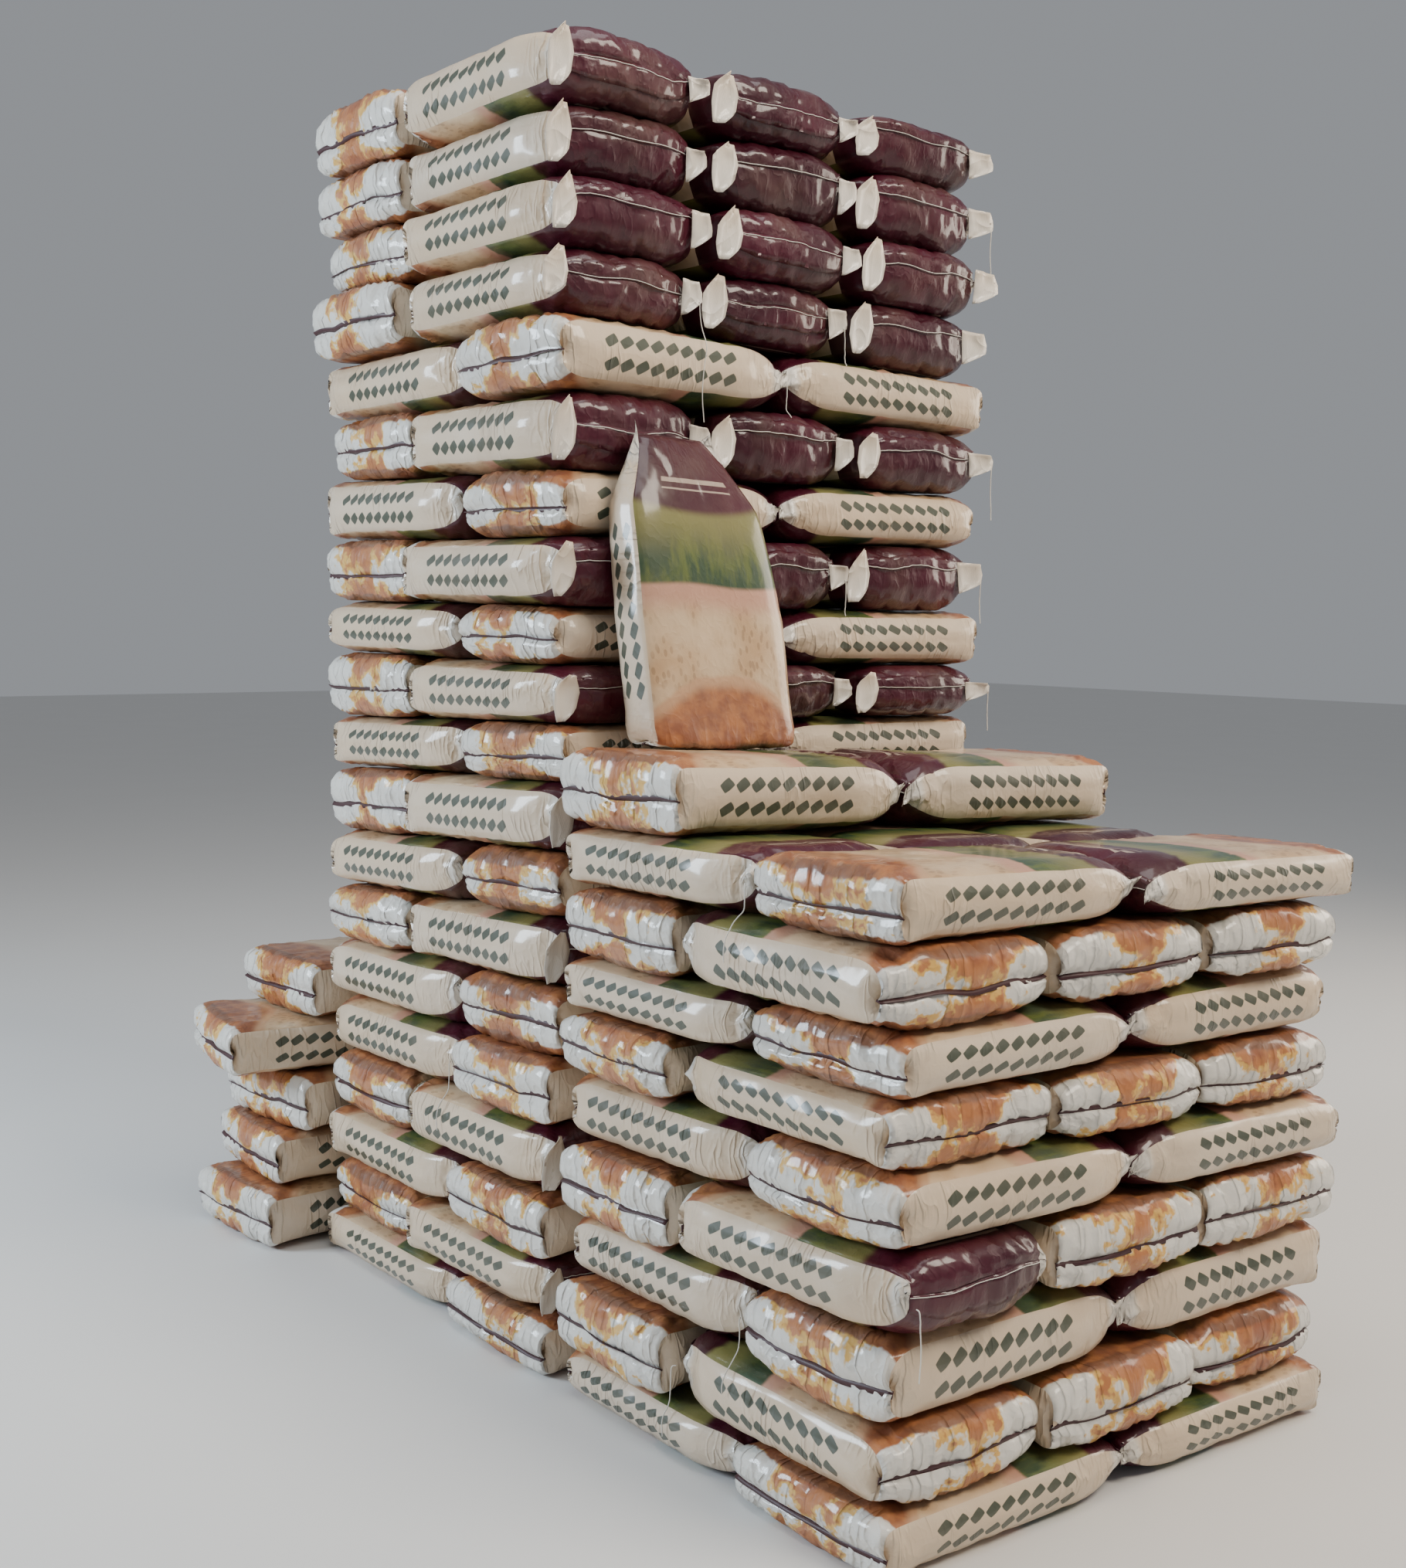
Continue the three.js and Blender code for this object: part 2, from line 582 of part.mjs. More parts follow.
standing.rotateX(Math.PI / 2);
const standingPoints = standing.attributes.position;
for (let i = 0; i < standingPoints.count; i++) {
  const height = Math.max(0, standingPoints.getZ(i)) / STANDING_HEIGHT;
  const thin = 1 - STANDING_TOP_THIN * height * height;
  const lean = STANDING_LEAN * height * STANDING_HEIGHT;
  standingPoints.setY(i, standingPoints.getY(i) * thin + lean);
}
standing.translate(STANDING_LEFT, STANDING_FRONT + STANDING_THICK / 2, 0);
const standingFoot = standing.attributes.position;
for (let i = 0; i < standingFoot.count; i++) {
  const slopeX = (stepPlane.nearRight - stepPlane.nearLeft) / STACK_WIDTH;
  const slopeY = (stepPlane.farLeft - stepPlane.nearLeft) / STACK_DEPTH;
  const floor = stepPlane.nearLeft + slopeX * standingFoot.getX(i) + slopeY * standingFoot.getY(i);
  standingFoot.setZ(i, standingFoot.getZ(i) + floor);
}
addNode("standing_sack", toGeometry(toSolid(standing)), FILM_WHITE);

// The lower pile behind the tower.
for (let i = 0; i < REAR_TOPS.length; i++) {
  const count = i + 1;
  const level = (height) => ({ nearLeft: height, nearRight: height, farLeft: height });
  const pair = pairLayer(REAR_FRONT, [
    { x: SACK_LENGTH / 2 + REAR_SLIDE[i], y: 24, turn: REAR_TURN[i] },
    { x: 1.5 * SACK_LENGTH - 6 + REAR_SLIDE[i], y: 20, turn: 0 },
  ]);
  const below = level(i === 0 ? 0 : REAR_TOPS[i - 1]);
  const above = level(REAR_TOPS[i]);
  const geometry = fitBetween(pair, below, above, 0, STACK_DEPTH);
  addNode("rear_layer_" + String(count).padStart(2, "0"), geometry, FILM_SHADE);
}

// The thread tails, each a plain round strand along its route.
const strandPoints = [];
for (let i = 0; i < THREAD_SIDES; i++) {
  const angle = (2 * Math.PI * i) / THREAD_SIDES;
  strandPoints.push(new THREE.Vector2(Math.cos(angle), Math.sin(angle)).multiplyScalar(THREAD_DIAMETER / 2));
}
const strand = new THREE.Shape(strandPoints);
THREAD_ROUTES.forEach((route, i) => {
  const path = new THREE.CatmullRomCurve3(route.map((point) => new THREE.Vector3(...point)));
  const steps = Math.ceil(path.getLength() / THREAD_STEP);
  const geometry = new THREE.ExtrudeGeometry(strand, { steps, extrudePath: path, bevelEnabled: false });
  addNode("thread_tail_" + String(i + 1).padStart(2, "0"), toGeometry(toSolid(geometry)), THREAD_WHITE);
});

// The frame's origin is the middle of the footprint, on the floor.
stack.updateMatrixWorld(true);
const bounds = new THREE.Box3().setFromObject(stack, true);
for (const mesh of stack.children) {
  mesh.geometry.translate(
    -(bounds.min.x + bounds.max.x) / 2,
    -(bounds.min.y + bounds.max.y) / 2,
    -bounds.min.z,
  );
}

export default stack;
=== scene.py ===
"""Looks of the stack of filled sacks, for Blender 4.5.

Each sack is a side-gusseted bag of laminated woven film, full of grain. It has two printed panels, two cream
gussets, a folded and taped seam at its bottom end, and a mouth that is sewn shut with a white thread.
One piece stands for each layer of the CAD model. Lengths are in metres, +Z is up.
"""
import math

import bpy
import numpy as np
from bpy.props import FloatProperty, FloatVectorProperty, PointerProperty
from mathutils import Matrix, Vector


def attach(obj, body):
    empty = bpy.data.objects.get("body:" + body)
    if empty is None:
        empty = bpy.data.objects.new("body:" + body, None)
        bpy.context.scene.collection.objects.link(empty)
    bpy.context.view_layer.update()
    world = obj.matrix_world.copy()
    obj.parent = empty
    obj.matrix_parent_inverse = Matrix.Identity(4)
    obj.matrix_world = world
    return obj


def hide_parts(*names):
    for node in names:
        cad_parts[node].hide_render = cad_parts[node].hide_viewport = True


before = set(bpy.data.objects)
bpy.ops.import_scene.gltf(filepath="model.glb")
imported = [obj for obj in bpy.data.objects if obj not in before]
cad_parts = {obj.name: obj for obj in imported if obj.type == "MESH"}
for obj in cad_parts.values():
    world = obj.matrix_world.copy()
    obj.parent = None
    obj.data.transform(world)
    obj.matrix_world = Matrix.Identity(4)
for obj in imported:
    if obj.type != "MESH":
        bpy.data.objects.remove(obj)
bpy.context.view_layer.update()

bl_info = {
    "name": "Stack of filled sacks",
    "version": (1, 0, 0),
    "blender": (4, 5, 0),
    "location": "3D View > Sidebar > Sacks",
    "description": "Builds the looks of a crossed stack of filled sacks",
    "category": "Object",
}

# The stack's plan, as in the CAD source: three widths are as long as two lengths.
SACK_LENGTH = 0.630
SACK_WIDTH = 0.420
SACK_HEIGHT = 0.140
STACK_WIDTH = 2 * SACK_LENGTH
STACK_DEPTH = SACK_LENGTH + SACK_WIDTH
NEAR_CORNER = np.array([-0.548806, -1.292336])
PLANE_GAP = 0.0004
SIDE_GAP = 0.0015
UNEVEN_OUT = 0.016
HIDDEN_FACE_BACK = 0.032
EAR_INNER = 0.062
EAR_SHORT = 0.014
EAR_OVER = 0.010
EAR_PAST_CORNER = 0.010
EAR_BEHIND_FACE = 0.0065

# The shape of the film: how far the two ends' own shapes reach along it, its section on the body between them, and the
# height of the lumps and folds on it.
BOTTOM_TAPER = 0.15
MOUTH_TAPER = 0.19
BODY_DOME = 4.0
BODY_CORNER = 0.93
SEAM_OPENING = 0.014
LUMP_HIGH = 0.0030
SMALL_LUMP_HIGH = 0.0013
FOLD_HIGH = 0.0016
CUFF_HIGH = 0.0045
WAIST_DEEP = 0.0050

# How single sacks in a full layer differ: the most that one turns, in radians, how far it slides toward its mouth,
# the shares of short sacks with a plain bottom end and of long ones with a round one, and the share of its tuck that
# a sack turned half round keeps.
TURN_OUT = 0.008
MOUTH_SLIDE = 0.004
PLAIN_END_SHARE = 0.6
ROUND_END_SHARE = 0.4
TURNED_TUCK = 0.3

# The film's small parts. Nearer to the mouth than LOOSE_REACH it may leave the layer's planes.
LOOSE_REACH = 0.05
EAR_HALF_THICK = 0.0005
FLAP_FRONT, FLAP_BACK = 0.0008, 0.0006
TAPE_SECTION = ((-0.003, 0.0016), (0.0095, 0.0007), (0.0095, -0.0007), (-0.003, -0.0016))
FOLD_UP_SHARE = 0.7
FLAP_ROWS = 4
FLAP_WIDTH = 0.044
STITCH_RADIUS = 0.0009
# Painted shade: up to the first of these distances from the mouth, a gusset that faces a neighbouring mouth is mapped
# onto the maroon head at the second distance across, so the gap between the sacks reads dark.
SHADE_PAINT_REACH = 0.155
SHADE_PAINT_FROM = 0.135

# The cloth simulation.
SWELL_STEPS = 20
FILM_MASS = 0.12
FILM_TENSION = 30
FILM_SHEAR = 8
FILM_BENDING = 0.02
FILM_AIR_DAMPING = 3

# Heights of the layer tops in millimetres, from the floor up, at the near left, near right and far left corners.
BLOCK_TOPS = (
    (115, 255, 420, 565, 705, 825, 940, 1085, 1222),
    (110, 255, 405, 545, 670, 805, 945, 1072, 1180),
    (105, 258, 392, 545, 690, 815, 930, 1075, 1200),
)
TOWER_TOPS = (
    (120, 245, 390, 540, 685, 835, 990, 1130, 1280, 1400,
     1522, 1645, 1790, 1930, 2095, 2255, 2385, 2530, 2675, 2825),
    (120, 250, 385, 535, 680, 825, 970, 1115, 1260, 1395,
     1512, 1645, 1798, 1928, 2070, 2205, 2345, 2490, 2645, 2765),
    (110, 245, 378, 525, 665, 812, 948, 1085, 1240, 1370,
     1528, 1655, 1800, 1950, 2095, 2235, 2395, 2530, 2670, 2830),
)
STEP_TOPS = ((1368,), (1322,), (1362,))
REAR_TOPS = (150, 290, 440, 580, 728)
BLOCK_ENDS_IN_FRONT = (2, 4, 6, 8)
BLOCK_MOUTHS_OUT = {4: (0,)}
TOWER_ENDS_IN_FRONT = (2, 4, 7, 9, 11, 13, 15, 17, 18, 19, 20)
BLOCK_SHIFT_X = (0, -12, 4, -8, 6, -4, 0, -10, 4)
BLOCK_SHIFT_Y = (6, -4, 4, -10, 4, 0, 4, -6, 2)
TOWER_SHIFT_X = (0, 4, -4, 2, -2, 6, 10, 4, 14, 16, 18, 14, 4, 10, 16, 14, -8, 8, 2, -6)
TOWER_SHIFT_Y = (6, 4, 8, 6, 4, 8, 6, 4, 8, 6, 8, 4, 6, 10, 6, 2, 8, 4, 8, 4)
TOWER_SETBACK = 16
STEP_FRONT = 0.628
REAR_FRONT = 2 * STACK_DEPTH + 0.0322
REAR_SLIDE = (-150, -92, -62, -178, -14)
REAR_TURN = (0.06, -0.05, 0.1, -0.16, 0.03)
STANDING_LEFT = 0.150
STANDING_FRONT = 0.858
STANDING_WIDTH = 0.372
STANDING_HEIGHT = 0.650
STANDING_THICK = 0.142
STANDING_LEAN = 0.1594

# The standing sack's two edges at several shares of its height, as shares of its width.
EDGES_AT = (0, 0.07, 0.42, 0.78, 0.93, 1.0)
LEFT_EDGE = np.array([0.02, -0.02, -0.04, -0.03, 0.03, 0.07]) * STANDING_WIDTH
RIGHT_EDGE = np.array([0.96, 1.0, 0.99, 0.89, 0.76, 0.66]) * STANDING_WIDTH

# The tower's layers have the seeds 1 to 20, and the other parts theirs from here on.
BLOCK_SEED, STEP_SEED, STANDING_SEED, REAR_SEED = 40, 610, 708, 800
MASTER_SEED = 900

# The loose tails of the closing threads, as in the CAD source, in metres from the plan's near left corner. Each has
# its length and its route, from where it leaves its sack to its free end.
THREAD_TAILS = (
    (0.16, (
        (1.2723, 1.083, 2.5706), (1.2753, 1.083, 2.5706), (1.2787, 1.083, 2.5696), (1.2812, 1.083, 2.5659),
        (1.282, 1.083, 2.5596), (1.282, 1.083, 2.553), (1.282, 1.084, 2.538), (1.282, 1.085, 2.522),
        (1.282, 1.085, 2.507), (1.282, 1.084, 2.492), (1.282, 1.082, 2.477), (1.282, 1.081, 2.462),
        (1.282, 1.08, 2.447), (1.282, 1.079, 2.432), (1.282, 1.079, 2.417),
    )),
    (0.271, (
        (0.392, 1.0818, 2.3006), (0.392, 1.0788, 2.3006), (0.392, 1.0754, 2.2996), (0.392, 1.0729, 2.2959),
        (0.392, 1.0721, 2.2896), (0.392, 1.072, 2.283), (0.394, 1.072, 2.265), (0.397, 1.072, 2.248),
        (0.399, 1.067, 2.231), (0.398, 1.058, 2.216), (0.396, 1.051, 2.2), (0.394, 1.051, 2.183),
        (0.391, 1.051, 2.165), (0.388, 1.05, 2.148), (0.386, 1.05, 2.13), (0.385, 1.05, 2.112),
        (0.385, 1.05, 2.095), (0.386, 1.05, 2.077), (0.388, 1.05, 2.06), (0.39, 1.05, 2.042),
    )),
    (0.095, (
        (0.812, 1.0881, 2.2854), (0.812, 1.0851, 2.2854), (0.812, 1.0817, 2.2845), (0.812, 1.0792, 2.2808),
        (0.812, 1.0784, 2.2744), (0.812, 1.078, 2.267), (0.813, 1.078, 2.26), (0.813, 1.078, 2.252),
        (0.813, 1.078, 2.244), (0.813, 1.078, 2.236), (0.814, 1.078, 2.228), (0.813, 1.078, 2.22),
        (0.813, 1.077, 2.213), (0.812, 1.074, 2.206), (0.812, 1.069, 2.199),
    )),
    (0.1, (
        (0.6578, 1.0935, 2.1553), (0.6555, 1.0916, 2.1553), (0.6529, 1.0893, 2.1543),
        (0.651, 1.0877, 2.1506), (0.6504, 1.0872, 2.1443), (0.651, 1.087, 2.137), (0.651, 1.087, 2.129),
        (0.651, 1.087, 2.12), (0.65, 1.087, 2.112), (0.65, 1.087, 2.104), (0.649, 1.087, 2.095),
        (0.648, 1.084, 2.088), (0.648, 1.078, 2.082), (0.647, 1.071, 2.077), (0.647, 1.065, 2.071),
    )),
    (0.141, (
        (1.2863, 1.0757, 2.002), (1.2893, 1.0757, 2.002), (1.2927, 1.0757, 2.001), (1.2952, 1.0757, 1.9973),
        (1.296, 1.0757, 1.991), (1.296, 1.076, 1.984), (1.296, 1.077, 1.971), (1.296, 1.077, 1.958),
        (1.296, 1.077, 1.945), (1.296, 1.077, 1.933), (1.296, 1.076, 1.92), (1.296, 1.075, 1.907),
        (1.296, 1.074, 1.894), (1.296, 1.074, 1.881), (1.296, 1.073, 1.868),
    )),
    (0.115, (
        (1.2743, 1.0907, 1.7247), (1.2773, 1.0907, 1.7247), (1.2807, 1.0907, 1.7237),
        (1.2832, 1.0907, 1.7201), (1.284, 1.0907, 1.7137), (1.284, 1.091, 1.707), (1.284, 1.092, 1.697),
        (1.284, 1.092, 1.687), (1.284, 1.093, 1.676), (1.284, 1.093, 1.666), (1.284, 1.092, 1.656),
        (1.284, 1.092, 1.646), (1.284, 1.091, 1.636), (1.284, 1.09, 1.626), (1.284, 1.089, 1.616),
    )),
    (0.0905, (
        (0.824, 1.0809, 1.7143), (0.824, 1.0779, 1.7143), (0.824, 1.0744, 1.7133), (0.824, 1.072, 1.7096),
        (0.824, 1.0712, 1.7033), (0.824, 1.071, 1.696), (0.824, 1.071, 1.689), (0.824, 1.071, 1.682),
        (0.824, 1.071, 1.674), (0.824, 1.071, 1.667), (0.823, 1.071, 1.66), (0.823, 1.071, 1.652),
        (0.822, 1.071, 1.645), (0.822, 1.071, 1.638), (0.822, 1.068, 1.631),
    )),
    (0.11, (
        (1.2883, 1.0697, 1.4557), (1.2913, 1.0697, 1.4557), (1.2947, 1.0697, 1.4547),
        (1.2972, 1.0697, 1.451), (1.298, 1.0697, 1.4447), (1.298, 1.07, 1.438), (1.298, 1.07, 1.428),
        (1.298, 1.071, 1.419), (1.298, 1.071, 1.409), (1.298, 1.071, 1.4), (1.298, 1.071, 1.39),
        (1.298, 1.07, 1.381), (1.298, 1.07, 1.371), (1.298, 1.069, 1.362), (1.298, 1.069, 1.352),
    )),
    (0.16, (
        (0.028, 0.4358, 1.1469), (0.0262, 0.4334, 1.1469), (0.0241, 0.4307, 1.1459),
        (0.0225, 0.4288, 1.1422), (0.022, 0.4281, 1.1359), (0.022, 0.428, 1.129), (0.022, 0.428, 1.114),
        (0.021, 0.429, 1.099), (0.01, 0.431, 1.088), (0, 0.432, 1.078), (-0.008, 0.433, 1.065),
        (-0.016, 0.433, 1.052), (-0.02, 0.433, 1.038), (-0.022, 0.432, 1.023), (-0.022, 0.431, 1.008),
    )),
    (0.17, (
        (0.0284, 1.5038, 0.605), (0.0261, 1.5019, 0.605), (0.0234, 1.4998, 0.604), (0.0215, 1.4982, 0.6004),
        (0.0209, 1.4977, 0.594), (0.021, 1.498, 0.587), (0.021, 1.498, 0.571), (0.021, 1.499, 0.555),
        (0.02, 1.501, 0.539), (0.011, 1.502, 0.525), (0.001, 1.503, 0.512), (-0.006, 1.503, 0.498),
        (-0.009, 1.502, 0.482), (-0.01, 1.501, 0.466), (-0.01, 1.499, 0.45),
    )),
    (0.15, (
        (0.034, 0.4378, 0.3323), (0.0317, 0.4359, 0.3323), (0.0291, 0.4337, 0.3313),
        (0.0272, 0.4321, 0.3277), (0.0266, 0.4316, 0.3213), (0.027, 0.431, 0.314), (0.027, 0.431, 0.3),
        (0.027, 0.432, 0.286), (0.025, 0.433, 0.273), (0.018, 0.434, 0.261), (0.01, 0.435, 0.249),
        (0.002, 0.436, 0.238), (-0.005, 0.436, 0.226), (-0.01, 0.435, 0.213), (-0.011, 0.434, 0.199),
    )),
    (0.15, (
        (0.0163, 0.6122, 0.1859), (0.0141, 0.6143, 0.1859), (0.0117, 0.6167, 0.1849),
        (0.0099, 0.6184, 0.1813), (0.0093, 0.6189, 0.1749), (0.009, 0.619, 0.168), (0.009, 0.619, 0.154),
        (0.009, 0.62, 0.14), (0.009, 0.621, 0.126), (0.009, 0.623, 0.112), (0.004, 0.624, 0.099),
        (-0.003, 0.625, 0.088), (-0.007, 0.625, 0.074), (-0.007, 0.624, 0.06), (-0.007, 0.623, 0.046),
    )),
    (0.131, (
        (0.044, -0.017, 0.4861), (0.0438, -0.02, 0.4861), (0.0435, -0.0234, 0.4851),
        (0.0433, -0.0258, 0.4814), (0.0433, -0.0266, 0.4751), (0.044, -0.027, 0.468),
        (0.044, -0.027, 0.456), (0.045, -0.027, 0.445), (0.046, -0.027, 0.433), (0.047, -0.027, 0.421),
        (0.047, -0.027, 0.409), (0.047, -0.027, 0.398), (0.046, -0.027, 0.386), (0.045, -0.027, 0.374),
        (0.044, -0.027, 0.362),
    )),
)

# How a surface is tagged for the film's material.
PANEL, GUSSET, PLAIN_FILM = 0.0, 1.0, 2.0


class FilmSettings(bpy.types.PropertyGroup):
    """Colours and finish of the printed film."""

    cream: FloatVectorProperty(
        name="Cream", description="Ground colour of the gussets and the panels' middle",
        subtype="COLOR", size=3, min=0, max=1, default=(0.63, 0.46, 0.29),
    )
    white: FloatVectorProperty(
        name="White", description="Unprinted film at the ears and at the bottom end",
        subtype="COLOR", size=3, min=0, max=1, default=(0.68, 0.65, 0.59),
    )
    maroon: FloatVectorProperty(
        name="Maroon", description="Head of each panel, next to the mouth",
        subtype="COLOR", size=3, min=0, max=1, default=(0.038, 0.0032, 0.0095),
    )
    green: FloatVectorProperty(
        name="Green", description="Dark part of the leaf band",
        subtype="COLOR", size=3, min=0, max=1, default=(0.036, 0.066, 0.032),
    )
    orange: FloatVectorProperty(
        name="Orange", description="Strokes at the bottom end of each panel",
        subtype="COLOR", size=3, min=0, max=1, default=(0.43, 0.165, 0.060),
    )
    gold: FloatVectorProperty(
        name="Gold", description="Light edges of the strokes",
        subtype="COLOR", size=3, min=0, max=1, default=(0.68, 0.40, 0.10),
    )
    roughness: FloatProperty(
        name="Roughness", description="Roughness of the laminated film",
        subtype="FACTOR", min=0, max=1, default=0.42,
    )


class SackSettings(bpy.types.PropertyGroup):
    """Shape of a filled sack."""

    crease: FloatProperty(
        name="Crease height", description="Height of the puckers next to the seams, which each sack varies",
        subtype="DISTANCE", unit="LENGTH", min=0, max=0.01, default=0.0026,
    )
    swell: FloatProperty(
        name="Swell limit", description="Furthest that the cloth simulation may move a point",
        subtype="DISTANCE", unit="LENGTH", min=0, max=0.03, default=0.011,
    )
    pressure: FloatProperty(
        name="Pressure", description="Pressure of the filling in the cloth simulation",
        min=0, max=50, default=4.0,
    )
    slack: FloatProperty(
        name="Slack", description="Share by which the film is longer than the filled shape needs",
        subtype="FACTOR", min=0, max=0.2, default=0.035,
    )
    thread: FloatProperty(
        name="Thread", description="Diameter of the closing thread",
        subtype="DISTANCE", unit="LENGTH", min=0.0005, max=0.004, default=0.0022,
    )


class StageSettings(bpy.types.PropertyGroup):
    """Floor, light and camera."""

    floor: FloatVectorProperty(
        name="Floor", description="Colour of the plain floor",
        subtype="COLOR", size=3, min=0, max=1, default=(0.70, 0.69, 0.67),
    )
    lens: FloatProperty(
        name="Lens", description="Focal length of the camera on a 36 mm sensor",
        subtype="DISTANCE_CAMERA", unit="CAMERA", min=10, max=200, default=43.277,
    )
    floor_size: FloatProperty(
        name="Floor size", description="Side of the square floor",
        subtype="DISTANCE", unit="LENGTH", min=5, max=200, default=60,
    )


def ease(low, high, value):
    """Rises smoothly from 0 at low to 1 at high."""
    share = np.clip((value - low) / (high - low), 0, 1)
    return share * share * (3 - 2 * share)


def hump(value, middle, width):
    """Is 1 at the middle and falls off on both sides of it."""
    return np.exp(-(((value - middle) / width) ** 2))


def drift(x, y, seed):
    """Smooth unevenness between -1 and 1 over a plane, the same on each run."""
    cell_x, cell_y = np.floor(x), np.floor(y)
    share_x, share_y = x - cell_x, y - cell_y
    share_x = share_x * share_x * (3 - 2 * share_x)
    share_y = share_y * share_y * (3 - 2 * share_y)

    def corner(step_x, step_y):
        wave = np.sin((cell_x + step_x) * 127.1 + (cell_y + step_y) * 311.7 + seed * 74.7) * 43758.5453
        return 2 * (wave - np.floor(wave)) - 1

    near = corner(0, 0) * (1 - share_x) + corner(1, 0) * share_x
    far = corner(0, 1) * (1 - share_x) + corner(1, 1) * share_x
    return near * (1 - share_y) + far * share_y


def uneven(layer, place):
    """The same spread as in the CAD source, so each sack stands out as its solid does."""
    wave = math.sin(layer * 12.9898 + place * 78.233) * 43758.5453
    return 2 * (wave - math.floor(wave)) - 1


class SackGrid:
    """The points and faces that all sacks share. Rows run from the bottom seam to the mouth, and each row goes
    round the bag: over the upper panel, down one gusset, back over the lower panel and up the other gusset."""

    PANEL_STEPS = 30
    GUSSET_STEPS = 8
    GUSSET_HALF = 0.0525
    FILM_LENGTH = 0.735

    def __init__(self):
        even = np.linspace(-1, 1, self.PANEL_STEPS + 1)
        self.across = 0.7 * even + 0.3 * np.sin(even * math.pi / 2)
        self.down = np.linspace(1, -1, self.GUSSET_STEPS + 1)
        rows = [0.0]
        while rows[-1] < self.FILM_LENGTH:
            edge = min(rows[-1], (self.FILM_LENGTH - rows[-1]) * 0.8)
            rows.append(rows[-1] + 0.0105 + 0.0205 * float(ease(0.085, 0.17, edge)))
        if len(rows) % 2 == 0:
            rows.append(rows[-1] + 0.011)
        self.rows = np.array(rows) / rows[-1]
        self.loop = 2 * (self.PANEL_STEPS + self.GUSSET_STEPS)
        self.full = self.make_faces(1)
        self.plain = self.make_faces(2)

    def make_faces(self, step):
        """Faces with their UV columns. A step of 2 keeps every second row and column."""
        panel = self.PANEL_STEPS // step
        gusset = self.GUSSET_STEPS // step
        loop = 2 * (panel + gusset)
        rows = (len(self.rows) - 1) // step + 1
        across = self.across[::step]
        down = self.down[::step] * self.GUSSET_HALF
        start = np.concatenate([across[:-1], down[:-1], across[:0:-1], down[:0:-1]])
        end = np.concatenate([across[1:], down[1:], across[-2::-1], down[-2::-1]])
        kind = np.repeat([PANEL, GUSSET, PANEL, GUSSET], [panel, gusset, panel, gusset])
        row, column = np.meshgrid(np.arange(rows - 1), np.arange(loop), indexing="ij")
        after = (column + 1) % loop
        quads = np.stack(
            [row * loop + column, (row + 1) * loop + column, (row + 1) * loop + after, row * loop + after], axis=-1
        ).reshape(-1, 4)
        corner_rows = np.stack([row, row + 1, row + 1, row], axis=-1).reshape(-1, 4)
        corner_across = np.stack([start[column], start[column], end[column], end[column]], axis=-1).reshape(-1, 4)
        kinds = np.repeat(kind[column].reshape(-1, 1), 4, axis=1)
        return {
            "step": step, "columns": np.arange(0, self.loop, step), "quads": quads, "rows": corner_rows,
            "across": corner_across, "kinds": kinds, "caps": self.make_caps(panel, gusset, rows),
        }

    def make_caps(self, panel, gusset, rows):
        """Faces that close the flattened bag at both seams."""
        loop = 2 * (panel + gusset)
        outline = [(j, 2 * panel + gusset - j, 2 * panel + gusset - j - 1, j + 1) for j in range(panel)]
        tips = []
        for side in (panel, 2 * panel + gusset):
            half = gusset // 2
            outline += [(side + k, side + gusset - k, side + gusset - k - 1, side + k + 1) for k in range(half - 1)]
            tips.append((side + half - 1, side + half + 1, side + half))
        groups = []
        for group in (np.array(outline), np.array(tips)):
            last = (rows - 1) * loop + group % loop
            groups.append(np.concatenate([(group % loop)[:, ::-1], last]))
        return groups

    def mirrored(self, delta, sideways, upside_down):
        """A field of moves, turned over so that one simulated sack serves several."""
        place = np.arange(self.loop)
        if sideways:
            place = (self.PANEL_STEPS - place) % self.loop
        if upside_down:
            place = (2 * self.PANEL_STEPS + self.GUSSET_STEPS - place) % self.loop
        signs = np.array([1.0, -1.0 if sideways else 1.0, -1.0 if upside_down else 1.0])
        return delta[:, place] * signs


GRID = SackGrid()


def nose(reach, squareness, points=80):
    """How a sack closes: distance back from its end, and opening from 0 at the seam to 1."""
    angle = np.linspace(0, math.pi / 2, points)
    back = reach * (1 - np.cos(angle) ** (2 / squareness))
    return back, np.sin(angle) ** (2 / squareness)


